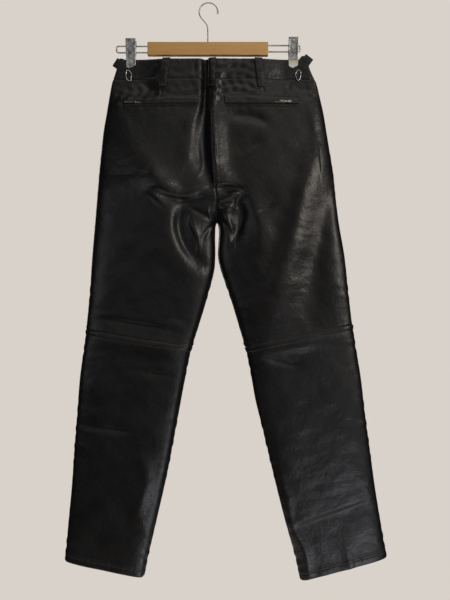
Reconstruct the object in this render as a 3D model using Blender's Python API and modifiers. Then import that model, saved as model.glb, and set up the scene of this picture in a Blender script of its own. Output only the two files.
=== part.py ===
"""Black leather motorcycle trousers, hung by the waist from a clip hanger and seen from behind.

The garment's back faces -Y, its front faces +Y, and +Z is up. The origin is the inside top of the hanger's
hook. Tables are in millimetres. A height (z) is below the hook, and an across (x) is to the viewer's right.

Each leg's cloth is a skin over rings. A ring runs from the side seam (turn 0) over the back or the front to
the seat seam above the crotch (a quarter turn) and to the inseam below it (a half turn).
"""

import math

import bmesh
import bpy
import numpy as np
from mathutils import Matrix, Vector
from mathutils.bvhtree import BVHTree

# Driving dimensions, in millimetres --------------------------------------------------------------

MM = 0.001
LEATHER = 1.4
SEAM_GAP = 0.3
CLEAR = 0.35
BACK, FRONT = -1, 1
LEGS = ("left", "right")

WAIST_TOP = -117.0
SEAT_TURN = -360.0
SEAT_CURVE = 1.35
CROTCH = -452.0
KNEE = {"left": -709.0, "right": -710.0}
HEM = {"left": -1184.0, "right": -1189.0}
# How blunt a ring is, where 2 is an ellipse: height, power
ROUNDNESS = ((-100, 2.3), (-180, 2.3), (-260, 3.2), (-1190, 3.2))

# The side seam's place across, down the outline: height, across
SIDE_SEAM = {
    "left": (
        (-100, -183), (-117, -184), (-128, -187), (-138, -190), (-150, -194), (-162, -198), (-192, -204),
        (-229, -210), (-266, -216), (-303, -220), (-353, -225), (-403, -229), (-452, -233),
        (-523, -239), (-597, -244), (-697, -254), (-771, -264), (-846, -270), (-920, -276),
        (-995, -281), (-1069, -288), (-1144, -295),
    ),
    "right": (
        (-100, 200), (-117, 201), (-128, 205), (-138, 209), (-150, 215), (-162, 221), (-192, 229),
        (-229, 237), (-266, 243), (-303, 249), (-353, 257), (-403, 262), (-452, 268),
        (-523, 280), (-597, 288), (-650, 294), (-668, 296), (-697, 300), (-771, 312),
        (-846, 321), (-920, 331), (-995, 341), (-1069, 353), (-1142, 366),
    ),
}
# The seat seam, and each inseam below it: height, across
SEAT_SEAM = ((-100, 4), (-158, 4), (-241, 7), (-293, 9), (-345, 12), (-407, 17), (-452, 18))
INSEAM = {
    "left": (
        (-452, 16.5), (-460, 13.5), (-474, 12.5), (-523, 12.5), (-548, 11), (-572, 6), (-597, -1),
        (-622, -8), (-672, -23.5), (-721, -38.5), (-771, -49), (-870, -67.5), (-970, -86.5),
        (-1069, -109), (-1152, -128), (-1186, -135),
    ),
    "right": (
        (-452, 19.5), (-462, 22), (-498, 22), (-523, 21), (-548, 26), (-572, 34), (-622, 51),
        (-672, 66), (-721, 80), (-771, 90), (-821, 99), (-870, 111), (-970, 135),
        (-1069, 160), (-1148, 182), (-1189, 191),
    ),
}
# How far a ring's side seam lies above its inseam, because the legs hang splayed: height, rise
RING_RISE = {
    "left": ((-440, 0), (-452, 0), (-560, 13), (-709, 35), (-930, 34), (-1184, 34)),
    "right": ((-440, 0), (-452, 0), (-560, 18), (-710, 46), (-935, 46), (-1189, 47)),
}
# Half the garment's depth, on the back and on the front: height, back, front
HALF_DEPTH = (
    (-100, 9, 8), (-117, 10, 8), (-159, 13, 11), (-200, 18, 14), (-290, 29, 21), (-370, 35, 25),
    (-452, 34, 25), (-560, 30, 23), (-709, 25, 20), (-930, 21, 17), (-1180, 18, 15),
)

# The hanger's clips: across from, across to, top, bottom
CLIPS = {"left": (-170.6, -149.8, -75.5, -135.4), "right": (165.0, 185.3, -72.6, -134.6)}
CLIP_GRIP = 1.9
CLIP_GRIP_TOP = -117.0
CLIP_TOP_HALF = 9.0
CLIP_SHEET = 1.2

# How far the waist's corners stand up beyond the clips
CORNER_LIFT = {"left": 2.5, "right": 8.0}

# The cloth's largest folds. Depth is into the garment, and a ridge is less than 0. With two half widths, the
# first is at the left hand of someone who walks along the fold.
# across, height, depth, half width or half widths
BACK_FOLDS = {
    "centre groove": (
        (-6, -112, 8, 8, 7), (-6, -160, 11, 8, 7), (-7, -215, 12, 8, 8), (-9, -250, 11, 9, 14),
        (-10, -300, 10, 9, 19), (-7, -340, 8, 9, 18), (1, -368, 5, 7, 13), (8, -390, 0, 6, 8),
    ),
    "lip left of the groove": (
        (-20, -215, 0, 8, 8), (-28, -240, -1.5, 9, 14), (-38, -285, -2, 12, 20), (-42, -325, -2, 12, 22),
        (-50, -350, 0, 12, 20),
    ),
    "ridge at the seat seam": (
        (8, -165, 0, 16, 6), (9, -215, -4, 18, 7), (9, -290, -6, 22, 7), (12, -345, -6, 26, 6),
        (16, -374, -4, 26, 6), (18, -392, 0, 20, 6),
    ),
    "valley beside the ridge": ((46, -230, 0, 20, 12), (42, -290, 3, 26, 12), (50, -345, 3, 24, 14), (64, -372, 0, 20, 12)),
    "left seat": ((-170, -270, 0, 30, 30), (-140, -325, -4, 34, 34), (-100, -374, -9, 36, 36)),
    "left under seat": (
        (-112, -388, 0, 6, 12), (-100, -396, 4, 6, 12), (-78, -407, 7, 6, 13), (-40, -411, 6, 6, 12),
        (-14, -410, 3, 6, 10), (2, -404, 0, 5, 8),
    ),
    "left inner thigh": (
        (-58, -412, 0, 14, 16), (-74, -428, -3, 18, 34), (-82, -450, -4, 20, 44), (-77, -490, -4, 20, 44),
        (-57, -535, -4, 18, 30), (-34, -562, -2.5, 14, 18), (-4, -568, 0, 10, 12),
    ),
    "left thigh hollow": (
        (-44, -414, 0, 20, 8), (-55, -428, 4, 26, 11), (-59, -450, 5, 34, 12), (-53, -488, 5, 34, 12),
        (-35, -522, 4.5, 26, 11), (-18, -541, 3.5, 18, 10), (2, -546, 0, 10, 8),
    ),
    "right under seat": ((12, -383, 0, 5, 8), (24, -387, 7, 5, 10), (48, -386, 7, 5, 10), (64, -389, 4, 5, 9),
                         (76, -394, 0, 5, 8)),
    "right cheek fold": ((20, -412, 0, 6, 6), (42, -405, -4, 7, 6), (64, -399, -5, 8, 6), (78, -399, 0, 7, 6)),
    "right thigh valley": (
        (66, -396, 0, 12, 6), (61, -412, 6, 16, 8), (60, -440, 9, 20, 15), (58, -470, 7, 22, 12),
        (54, -505, 0, 22, 8),
    ),
    "right thigh crest": (
        (84, -400, 0, 20, 12), (98, -440, -3, 22, 14), (110, -480, -4, 24, 16), (102, -536, -2, 24, 16),
        (96, -560, 0, 20, 14),
    ),
    "right facet": ((26, -430, 0, 8, 8), (34, -440, -3, 8, 10), (43, -462, -4, 7, 12), (54, -484, 0, 6, 10)),
    "right long crest": (
        (232, -290, 0, 30, 20), (216, -331, -5, 34, 22), (193, -381, -6, 38, 22), (180, -442, -6, 40, 22),
        (165, -493, -6, 40, 30), (144, -553, -6, 42, 44), (134, -614, -5, 44, 50), (132, -654, -3, 44, 50),
        (132, -696, 0, 40, 40),
    ),
    "right long valley": (
        (262, -340, 0, 12, 24), (256, -400, 5, 18, 34), (251, -442, 6, 24, 36), (241, -493, 6, 30, 38),
        (220, -553, 6, 34, 38), (208, -614, 5, 36, 38), (204, -654, 3, 36, 38), (202, -696, 0, 30, 30),
    ),
    "below the right pocket": ((24, -236, 0, 9), (98, -243, 4, 10), (122, -256, 0, 9)),
    "right hip": ((58, -318, 0, 16), (88, -296, 3, 14), (112, -286, 0, 12)),
    "left clip drag": ((-160, -140, 0, 7), (-128, -164, 4, 8), (-112, -190, 0, 8)),
    "right clip drag": ((180, -146, 0, 7), (166, -172, 4, 8), (160, -196, 0, 8)),
    "left above knee": ((-232, -648, 0, 10), (-188, -660, 5, 11), (-120, -668, 5, 11), (-34, -684, 0, 10)),
    "left knee": ((-240, -692, 0, 12), (-140, -706, -4, 16), (-50, -722, 0, 12)),
    "right knee": ((288, -690, 0, 12), (200, -702, -4, 16), (96, -722, 0, 12)),
    "right below knee": ((98, -724, 0, 11), (136, -741, 6, 11), (194, -750, 0, 10)),
    "left calf": ((-152, -756, 0, 12), (-104, -764, 5, 12), (-60, -768, 0, 12)),
    "left shin": ((-268, -870, 0, 12), (-206, -878, 5, 12), (-146, -886, 0, 12)),
    "left ankle": ((-150, -905, 0, 14), (-124, -966, -4, 14), (-142, -1058, -4, 14), (-124, -1096, 0, 12)),
    "right ankle": ((172, -1080, 0, 11), (250, -1050, 5, 12), (338, -1020, 0, 10)),
}
FRONT_FOLDS = {
    "centre groove": ((4, -112, 4, 10), (5, -200, 6, 11), (9, -320, 3, 12), (14, -400, 0, 12)),
    "left crotch": ((-10, -420, 0, 12), (-70, -400, 6, 12), (-130, -370, 0, 12)),
    "right crotch": ((45, -420, 0, 12), (105, -398, 6, 12), (168, -366, 0, 12)),
    "left thigh": ((0, -470, 0, 14), (-70, -500, 5, 14), (-130, -500, 0, 14)),
    "right thigh": ((38, -470, 0, 14), (112, -505, 5, 14), (170, -510, 0, 14)),
    "left knee bend": ((-232, -668, 0, 12), (-140, -690, 6, 12), (-50, -702, 0, 12)),
    "right knee bend": ((286, -662, 0, 12), (200, -690, 6, 12), (90, -706, 0, 12)),
    "left shin": ((-262, -900, 0, 14), (-180, -930, 4, 14), (-104, -930, 0, 14)),
    "right shin": ((318, -900, 0, 14), (230, -934, 4, 14), (136, -936, 0, 14)),
}

# Rings of each panel, by height, and the cloth's columns from the side seam inwards
UPPER_RINGS = (
    -159, -175, -194, -215, -238, -262, -287, -312, -336, -360, -374, -388, -401, -413, -424, -434, -443,
    -452, -462, -478, -500, -530, -566, -604, -640, -674, -709,
)
LOWER_RINGS = (0.0, 0.05, 0.11, 0.18, 0.27, 0.37, 0.48, 0.6, 0.72, 0.84, 0.93, 1.0)
FRONT_RINGS = (
    -159, -185, -215, -250, -290, -330, -360, -384, -404, -421, -437, -452, -468, -492, -524, -560, -604,
    -648, -684, -709,
)
WAIST_RINGS = (-117, -131, -145, -159)
HIP_COLUMNS = (
    0, 0.06, 0.14, 0.24, 0.34, 0.44, 0.53, 0.61, 0.68, 0.74, 0.79, 0.83, 0.87, 0.905, 0.935, 0.958, 0.974,
    0.988, 1,
)
FRONT_COLUMNS = (0, 0.07, 0.17, 0.29, 0.41, 0.52, 0.62, 0.71, 0.79, 0.86, 0.92, 0.965, 1)
CALF_COLUMNS = 13


# Rings ---------------------------------------------------------------------------------------------

def smooth(rows, at, column=1):
    """A smooth curve through a table's rows, read at a height."""
    table = np.array(sorted(rows), dtype=float)
    known, values = table[:, 0], table[:, column]
    slope = np.gradient(values, known)
    at = np.clip(at, known[0], known[-1])
    i = np.clip(np.searchsorted(known, at) - 1, 0, len(known) - 2)
    span = known[i + 1] - known[i]
    t = (at - known[i]) / span
    start = (1 + 2 * t) * (1 - t) ** 2 * values[i] + t * (1 - t) ** 2 * span * slope[i]
    return start + t * t * (3 - 2 * t) * values[i + 1] + t * t * (t - 1) * span * slope[i + 1]


def eased(t):
    t = np.clip(t, 0, 1)
    return t * t * (3 - 2 * t)


def under(height):
    """0 above the seat's turn, and 1 where the seat seam has turned under to the crotch."""
    share = np.clip((SEAT_TURN - height) / (SEAT_TURN - CROTCH), 0, 1)
    return share**SEAT_CURVE


def blunt(value, power):
    return np.sign(value) * np.abs(value) ** power


def bell(away, half_width):
    return np.exp(-((away / half_width) ** 2))


def softened(rows, parts=4):
    """A fold's rows with more between them, on a smooth line, and a half width for each side."""
    rows = [row if len(row) == 5 else (*row, row[3]) for row in rows]
    run = np.concatenate([[0], np.cumsum([math.dist(a[:2], b[:2]) for a, b in zip(rows, rows[1:])])])
    fine = np.interp(np.arange(parts * (len(rows) - 1) + 1) / parts, np.arange(len(rows)), run)
    return np.stack([smooth(list(zip(run, column)), fine) for column in zip(*rows)], axis=-1)


def fold_depth(folds, x, z):
    """How far folds push the cloth in at a place. Each fold is a soft trough along its rows."""
    total = np.zeros_like(x)
    for rows in folds.values():
        line = softened(rows)
        reach = 2.6 * line[:, 3:].max()
        (left, low), (right, high) = line[:, :2].min(axis=0) - reach, line[:, :2].max(axis=0) + reach
        near = (x > left) & (x < right) & (z > low) & (z < high)
        if not near.any():
            continue
        here_x, here_z = x[near], z[near]
        deepest = np.zeros_like(here_x)
        for start, end in zip(line, line[1:]):
            (from_x, from_z), (run_x, run_z) = start[:2], end[:2] - start[:2]
            off_x, off_z = here_x - from_x, here_z - from_z
            along = np.clip((off_x * run_x + off_z * run_z) / (run_x**2 + run_z**2), 0, 1)
            away = np.hypot(off_x - along * run_x, off_z - along * run_z)
            depth, left_half, right_half = (start[i] + along * (end[i] - start[i]) for i in (2, 3, 4))
            depth = depth * bell(away, np.where(off_x * run_z - off_z * run_x < 0, left_half, right_half))
            deepest = np.where(np.abs(depth) > np.abs(deepest), depth, deepest)
        total[near] += deepest
    return total


def pinch(x, z):
    """1 where a clip grips the waist, and less around it."""
    most = np.zeros_like(x)
    for start, end, _, bottom in CLIPS.values():
        middle, half = (start + end) / 2, (end - start) / 2
        across = eased(1 - (np.abs(x - middle) - half - 10) / 20)
        down = eased(1 - (bottom - 10 - z) / 50)
        most = np.maximum(most, across * down)
    return most


def corner_lift(leg, x, z):
    """The waist's free corner beyond a clip stands up a little."""
    start, end = CLIPS[leg][:2]
    beyond = start - x if leg == "left" else x - end
    return CORNER_LIFT[leg] * eased(beyond / 9) * eased(1 - (WAIST_TOP - z) / 38)


def skin(leg, face, height, share):
    """Points of a leg's outer surface: height down the inseam, and share of the way from the side seam."""
    height, share = np.broadcast_arrays(np.asarray(height, float), np.asarray(share, float))
    side_height = height + smooth(RING_RISE[leg], height)
    outer = smooth(SIDE_SEAM[leg], side_height)
    inner = np.where(height > CROTCH, smooth(SEAT_SEAM, height), smooth(INSEAM[leg], height))
    last_turn = math.pi / 2 * (1 + under(height))
    turn = share * last_turn
    power = 2 / smooth(ROUNDNESS, height)
    along = (1 - blunt(np.cos(turn), power)) / (1 - blunt(np.cos(last_turn), power))
    x = outer + (inner - outer) * along
    z = side_height + (height - side_height) * along
    depth = smooth(HALF_DEPTH, height, 1 if face == BACK else 2)
    out = depth * np.maximum(np.sin(turn), 0) ** power
    at_edges = eased(turn / 0.4) * eased((math.pi - turn) / 0.4)
    folds = fold_depth(BACK_FOLDS if face == BACK else FRONT_FOLDS, x, z)
    out = out - folds * at_edges
    grip = pinch(x, z)
    out = np.where(out > CLIP_GRIP, out + (CLIP_GRIP - out) * grip, out)
    z = z + corner_lift(leg, x, z)
    return np.stack([x, face * out, z], axis=-1)


def unit(vectors):
    return vectors / np.linalg.norm(vectors, axis=-1, keepdims=True)


def outward(leg, face, height, share):
    """The outer surface's normals."""
    tiny_up, tiny_share = 0.2, 0.002
    up = skin(leg, face, height + tiny_up, share) - skin(leg, face, height - tiny_up, share)
    more, less = np.minimum(share + tiny_share, 1), np.maximum(share - tiny_share, 0)
    along = skin(leg, face, height, more) - skin(leg, face, height, less)
    handed = face * (1 if leg == "left" else -1)
    return unit(np.cross(up, along) * handed)


def seam_normals(leg, face, height, normals):
    """Both panels at a seam share its normals, so that their walls meet and never cross."""
    other_leg = "right" if leg == "left" else "left"
    ends = np.zeros_like(height[:, 0]), np.ones_like(height[:, 0])
    for column, share in ((0, ends[0]), (-1, ends[1])):
        row = height[:, column]
        across = outward(leg, -face, row, share)
        if column == -1:
            beside = outward(other_leg, face, row, share)
            across = np.where((row > CROTCH)[:, None], beside, across)
        normals[:, column] = unit(normals[:, column] + across)
    return normals


# Walls ---------------------------------------------------------------------------------------------

def material(name, color, roughness, metallic=0.0):
    made = bpy.data.materials.new(name)
    made.use_nodes = True
    shader = made.node_tree.nodes["Principled BSDF"]
    shader.inputs["Base Color"].default_value = (*color, 1)
    shader.inputs["Roughness"].default_value = roughness
    shader.inputs["Metallic"].default_value = metallic
    return made


def add_object(name, mesh, finish, smooth_angle=40):
    made = bpy.data.objects.new(name, mesh)
    mesh.materials.append(finish)
    mesh.shade_smooth()
    mesh.set_sharp_from_angle(angle=math.radians(smooth_angle))
    parts.objects.link(made)
    return made


def draw_in(points, gap=SEAM_GAP / 2):
    """Pulls a grid's four edges back by half the seam gap."""
    points = points.copy()
    points[0] += gap * unit(points[1] - points[0])
    points[-1] += gap * unit(points[-2] - points[-1])
    points[:, 0] += gap * unit(points[:, 1] - points[:, 0])
    points[:, -1] += gap * unit(points[:, -2] - points[:, -1])
    return points


def grid_triangles(rows, columns):
    faces = []
    for i in range(rows - 1):
        for j in range(columns - 1):
            a, b = i * columns + j, i * columns + j + 1
            c, d = b + columns, a + columns
            faces += [(a, b, c), (a, c, d)] if (i + j) % 2 else [(a, b, d), (b, c, d)]
    return faces


def wall(name, outer, inner, finish):
    """A closed wall between two grids of the same rows and columns."""
    rows, columns = outer.shape[:2]
    count = rows * columns
    points = np.concatenate([outer.reshape(-1, 3), inner.reshape(-1, 3)]) * MM
    sheet = grid_triangles(rows, columns)
    faces = list(sheet) + [(c + count, b + count, a + count) for a, b, c in sheet]
    rim = list(range(columns)) + [i * columns + columns - 1 for i in range(1, rows)]
    rim += [(rows - 1) * columns + j for j in range(columns - 2, -1, -1)]
    rim += [i * columns for i in range(rows - 2, 0, -1)]
    for a, b in zip(rim, rim[1:] + rim[:1]):
        faces += [(b, a, a + count), (b, a + count, b + count)]
    mesh = bpy.data.meshes.new(name)
    mesh.from_pydata([tuple(p) for p in points], [], faces)
    tidy = bmesh.new()
    tidy.from_mesh(mesh)
    bmesh.ops.recalc_face_normals(tidy, faces=tidy.faces)
    tidy.to_mesh(mesh)
    tidy.free()
    return add_object(name, mesh, finish)


def leg_columns(columns, height):
    """A ring's columns: close together near the seat seam, and even round a leg."""
    columns = np.array(columns)
    even = np.linspace(0, 1, len(columns))
    turned = under(height)[:, None]
    return (1 - turned) * columns[None, :] + turned * even[None, :]


def panel(name, leg, face, heights, columns, finish):
    """One cut piece of a leg, as a wall, and its outer grid."""
    heights = np.array(heights, float)
    share = leg_columns(columns, heights)
    height = np.repeat(heights[:, None], share.shape[1], axis=1)
    points = skin(leg, face, height, share)
    normals = seam_normals(leg, face, height, outward(leg, face, height, share))
    outer = draw_in(points)
    inner = draw_in(points - LEATHER * normals)
    wall(name, outer, inner, finish)
    return outer


def waistband(leg, finish):
    """Half the waistband, from the centre back round the side to the centre front."""
    heights = np.array(WAIST_RINGS, float)
    grids, walls = [], []
    for face, columns in ((BACK, HIP_COLUMNS[::-1]), (FRONT, FRONT_COLUMNS)):
        height, share = np.meshgrid(heights, np.array(columns, float), indexing="ij")
        normals = outward(leg, face, height, share)
        side = 0 if face == FRONT else -1
        middle = -1 - side if face == FRONT else 0
        normals[:, side] = unit(normals[:, side] + outward(leg, -face, height[:, side], share[:, side]))
        other_leg = "right" if leg == "left" else "left"
        beside = outward(other_leg, face, height[:, middle], share[:, middle])
        normals[:, middle] = unit(normals[:, middle] + beside)
        points = skin(leg, face, height, share)
        keep = slice(1, None) if face == FRONT else slice(None)
        grids.append(points[:, keep])
        walls.append((points - LEATHER * normals)[:, keep])
    outer = draw_in(np.concatenate(grids, axis=1))
    inner = draw_in(np.concatenate(walls, axis=1))
    wall(f"waistband_{leg}", outer, inner, finish)
    return outer


# Pieces that lie on the panels -----------------------------------------------------------------------

def surface_tree(grids):
    """Every panel's outer grid as one surface to lay pieces on."""
    points, faces, start = [], [], 0
    for grid in grids:
        points += [Vector(p) for p in grid.reshape(-1, 3)]
        faces += [tuple(i + start for i in f) for f in grid_triangles(*grid.shape[:2])]
        start += grid.shape[0] * grid.shape[1]
    return BVHTree.FromPolygons(points, faces)


def seat(face, x, z, missed=2.0, reach=1.0):
    """How far out the cloth lies at a place, at its most within a small reach."""
    best = None
    for dx, dz in ((0, 0), (reach, 0), (-reach, 0), (0, reach), (0, -reach)):
        at = Vector((x + dx, face * 200, z + dz))
        hit = cloth.ray_cast(at, Vector((0, -face, 0)), 400)[0]
        if hit is not None and hit.y * face > -1:
            best = hit.y * face if best is None else max(best, hit.y * face)
    return missed if best is None else best


def laid(name, face, rows, columns, place, thick, finish, lift=None, reach=2.5):
    """A flat piece laid on the cloth. place(s, t) gives across and height, and lift(s, t) its clearance."""
    under_side = np.zeros((rows + 1, columns + 1, 3))
    for i in range(rows + 1):
        for j in range(columns + 1):
            s, t = j / columns, i / rows
            x, z = place(s, t)
            out = seat(face, x, z, reach=reach) + (CLEAR if lift is None else lift(s, t))
            under_side[i, j] = x, face * out, z
    upper = under_side + np.array([0, face * thick, 0])
    return wall(name, upper, under_side, finish)


LOOP_WIDTH, LOOP_THICK, LOOP_PROUD, LOOP_STAND = 16.0, 1.8, 1.5, 1.6
# node, face, across at the top, across at the bottom
BELT_LOOPS = (
    ("belt_loop_back_left", BACK, -86, -95),
    ("belt_loop_back_centre", BACK, 8, 5),
    ("belt_loop_back_right", BACK, 103, 110),
    ("belt_loop_front_left", FRONT, -98, -102),
    ("belt_loop_front_right", FRONT, 110, 114),
)
LOOP_BOTTOM = -177.0


def belt_loop(name, face, top_across, bottom_across, finish):
    """A folded strip from just above the waist to below the waistband, standing off a little between."""
    def place(s, t):
        x = top_across + (bottom_across - top_across) * t + (s - 0.5) * LOOP_WIDTH
        return x, WAIST_TOP + LOOP_PROUD + (LOOP_BOTTOM - WAIST_TOP - LOOP_PROUD) * t

    def lift(s, t):
        return CLEAR + LOOP_STAND * math.sin(math.pi * t) ** 0.6

    laid(name, face, 9, 5, place, LOOP_THICK, finish, lift)


# The back pockets: across from, across to, top, bottom, and the zip slider's place
POCKETS = {
    "left": (-174.0, -18.0, -196.0, -211.5, (-152.0, -209.4)),
    "right": (34.2, 185.3, -194.8, -211.5, (149.8, -208.7)),
}
WELT_THICK, ZIP_THICK, ZIP_TALL = 1.3, 0.8, 8.0
WELT_OPEN, WELT_OPEN_HALF = 6.4, 9.0
WELT_COLUMNS = 24
SLIDER_SIZE = (9.0, 2.4, 5.4)


def pocket(leg, leather, zip_finish):
    """A welt whose lower edge covers the zip and gapes where the slider is."""
    start, end, top, bottom, (slider_x, zip_z) = POCKETS[leg]

    def lower_edge(x):
        gape = eased(1 - (abs(x - slider_x) - WELT_OPEN_HALF) / 9)
        return bottom + WELT_OPEN * gape

    def welt_place(s, t):
        x = start + (end - start) * s
        return x, top + (lower_edge(x) - top) * t

    def welt_lift(s, t):
        return CLEAR + (ZIP_THICK + 0.35) * eased(t / 0.35)

    laid(f"pocket_welt_{leg}", BACK, 4, WELT_COLUMNS, welt_place, WELT_THICK, leather, welt_lift)

    def tape_place(s, t):
        column = 1 + (WELT_COLUMNS - 2) * s
        x = start + (end - start) * column / WELT_COLUMNS
        return x, zip_z + ZIP_TALL * (0.5 - t)

    laid(f"zip_tape_{leg}", BACK, 2, WELT_COLUMNS - 2, tape_place, ZIP_THICK, zip_finish)


def mesh_from(made):
    """A curve object made a mesh, with its caps welded."""
    mesh = bpy.data.meshes.new_from_object(made.evaluated_get(bpy.context.evaluated_depsgraph_get()))
    tidy = bmesh.new()
    tidy.from_mesh(mesh)
    bmesh.ops.remove_doubles(tidy, verts=tidy.verts, dist=1e-6)
    bmesh.ops.recalc_face_normals(tidy, faces=tidy.faces)
    tidy.to_mesh(mesh)
    tidy.free()
    return mesh


def wire(name, points, radius, finish, closed=False, resolution=2, swell=None):
    """A bent wire through points in millimetres."""
    data = bpy.data.curves.new(name, "CURVE")
    data.dimensions = "3D"
    data.bevel_depth = radius * MM
    data.bevel_resolution = resolution
    data.use_fill_caps = not closed
    line = data.splines.new("POLY")
    line.points.add(len(points) - 1)
    for i, (point, place) in enumerate(zip(line.points, points)):
        point.co = (*(Vector(place) * MM), 1)
        point.radius = 1.0 if swell is None else swell[i]
    line.use_cyclic_u = closed
    made = bpy.data.objects.new(name, data)
    parts.objects.link(made)
    bpy.context.view_layer.update()
    mesh = mesh_from(made)
    parts.objects.unlink(made)
    bpy.data.objects.remove(made)
    return add_object(name, mesh, finish)


def outline_plate(name, loops, thick, finish):
    """A flat plate in the XZ plane from closed outlines in millimetres; later outlines are holes."""
    data = bpy.data.curves.new(name, "CURVE")
    data.dimensions = "2D"
    data.fill_mode = "BOTH"
    data.extrude = thick / 2 * MM
    for loop in loops:
        line = data.splines.new("POLY")
        line.points.add(len(loop) - 1)
        for point, (x, z) in zip(line.points, loop):
            point.co = (x * MM, z * MM, 0, 1)
        line.use_cyclic_u = True
    made = bpy.data.objects.new(name, data)
    parts.objects.link(made)
    bpy.context.view_layer.update()
    mesh = mesh_from(made)
    parts.objects.unlink(made)
    bpy.data.objects.remove(made)
    mesh.transform(Matrix.Rotation(math.pi / 2, 4, "X"))
    return add_object(name, mesh, finish)


def box(name, size, finish, bevel=0.0, segments=2):
    """A box of a size in millimetres, with rounded edges, in its own object."""
    tidy = bmesh.new()
    bmesh.ops.create_cube(tidy, size=1)
    bmesh.ops.scale(tidy, vec=Vector(size) * MM, verts=tidy.verts)
    mesh = bpy.data.meshes.new(name)
    tidy.to_mesh(mesh)
    tidy.free()
    made = add_object(name, mesh, finish)
    if bevel:
        rounded = made.modifiers.new("rounded edges", "BEVEL")
        rounded.width = bevel * MM
        rounded.segments = segments
        rounded.limit_method = "NONE"
    return made


# The zip sliders and their pull tabs ---------------------------------------------------------------

PULL_LONG, PULL_WIDE, PULL_THICK = 20.0, 5.0, 0.8
PULL_BAR, PULL_WINDOW_END, PULL_WINDOW_HALF = 0.65, 4.8, 1.3
ARCH_HALF, ARCH_TALL, ARCH_WIRE = 3.0, 3.0, 0.65
PIN_ABOVE_SLIDER = 1.15


def slider_frame(leg):
    """Where a zip slider sits, and how far the cloth there turns away from the view."""
    slider_x, zip_z = POCKETS[leg][4]
    outs = [seat(BACK, slider_x + dx, zip_z) for dx in (-9, 9)]
    turned = math.atan2(outs[0] - outs[1], 18)
    out = seat(BACK, slider_x, zip_z, reach=4.5) + CLEAR + ZIP_THICK + 0.5
    return Vector((slider_x, -out, zip_z)), turned


def zip_slider(leg, metal):
    """A slider whose arch holds the pull tab's bar."""
    place, turned = slider_frame(leg)
    turn = Matrix.Rotation(turned, 4, "Z")
    body = box(f"zip_slider_{leg}", SLIDER_SIZE, metal, bevel=0.6)
    body.location = (place + Vector((0, -SLIDER_SIZE[1] / 2, 0))) * MM
    body.rotation_euler = (0, 0, turned)
    top = -SLIDER_SIZE[1] + 0.6
    corner = ARCH_TALL - 0.8
    arch_points = [
        (-ARCH_HALF, top, 0), (-ARCH_HALF, top - 0.6 - corner, 0), (-ARCH_HALF + 0.8, top - 0.6 - ARCH_TALL, 0),
        (ARCH_HALF - 0.8, top - 0.6 - ARCH_TALL, 0), (ARCH_HALF, top - 0.6 - corner, 0), (ARCH_HALF, top, 0),
    ]
    arch = wire(f"arch_{leg}", [place + turn @ Vector(p) for p in arch_points], ARCH_WIRE, metal, resolution=1)
    as_guide(arch)
    joined = body.modifiers.new("arch", "BOOLEAN")
    joined.operation = "UNION"
    joined.object = arch


def pull_outline(sign):
    """The pull tab's outline and its window, along X from the pin."""
    half, bar, end = PULL_WIDE / 2, PULL_BAR, PULL_LONG
    tip = [(end - 2.5 + 2.5 * math.sin(a), 2.5 * math.cos(a)) for a in np.linspace(0, math.pi, 7)]
    outline = [(-bar, half), (5.5, half), (7.5, 1.7), (end - 7, 1.7), (end - 4, 2.3)] + tip
    outline += [(end - 4, -2.3), (end - 7, -1.7), (7.5, -1.7), (5.5, -half), (-bar, -half)]
    window = [(bar, -PULL_WINDOW_HALF), (PULL_WINDOW_END, -PULL_WINDOW_HALF),
              (PULL_WINDOW_END, PULL_WINDOW_HALF), (bar, PULL_WINDOW_HALF)]
    return [[(sign * x, z) for x, z in loop] for loop in (outline, window)]


def zip_pull(leg, metal):
    """The pull tab lies flat and points to the side seam. Its object's origin is on the pin's axis."""
    place, turned = slider_frame(leg)
    pin = place + Vector((0, -SLIDER_SIZE[1] - PIN_ABOVE_SLIDER, 0))
    sign = -1 if leg == "left" else 1
    tab = outline_plate(f"zip_pull_{leg}", pull_outline(sign), PULL_THICK, metal)
    tab.location = pin * MM
    tab.rotation_euler = (0, 0, turned)
    print(f"zip_pull_{leg} pin at", [round(c * MM, 6) for c in pin], "turned", round(math.degrees(turned), 2))


def as_guide(made):
    """Moves a cutter or a guide out of the parts."""
    parts.objects.unlink(made)
    guides.objects.link(made)
    made.hide_render = True
    made.display_type = "WIRE"


# Side tabs and rings ---------------------------------------------------------------------------------

TAB_THICK, RING_WIRE = 1.3, 1.0
# A strap folded over the waist's corner: across, out (front is above 0), height, half width
SIDE_TABS = {
    "left": {
        "width_way": (0.535, 0.845),
        "rows": (
            (-174.4, -3.0, -134.0, 5.5), (-177.5, -3.1, -131.5, 8.5), (-184.0, -3.1, -127.3, 9.5),
            (-189.5, -2.9, -123.8, 9.5), (-192.4, -1.8, -121.9, 9.5), (-193.4, 0.0, -121.3, 9.5),
            (-192.4, 1.8, -121.9, 9.5), (-189.5, 2.9, -123.8, 9.5), (-184.0, 3.1, -127.3, 9.5),
            (-177.5, 3.1, -131.5, 8.5),
        ),
    },
    "right": {
        "width_way": (0.79, -0.61),
        "rows": (
            (190.5, -3.2, -136.5, 4.0), (193.5, -3.3, -132.0, 7.5), (198.5, -3.3, -125.0, 9.0),
            (204.5, -3.1, -117.0, 9.5), (208.0, -1.9, -112.4, 9.5), (209.1, 0.0, -111.0, 9.5),
            (208.0, 1.9, -112.4, 9.5), (204.5, 3.1, -117.0, 9.5), (198.5, 3.3, -125.0, 9.5),
            (193.5, 3.4, -132.0, 8.5),
        ),
    },
}
# The small wire rings that hang below the clips: across, height
SIDE_RINGS = {
    "left": ((-167, -139.5), (-162, -142.5), (-159.3, -147.5), (-159.6, -155), (-162.6, -162), (-167, -159.5),
             (-170.2, -152), (-169.8, -144)),
    "right": ((186.8, -139), (182.6, -142.5), (180.2, -147), (181.2, -154), (185.2, -160.5), (189, -156),
              (190.6, -148), (189.8, -141.5)),
}


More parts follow.
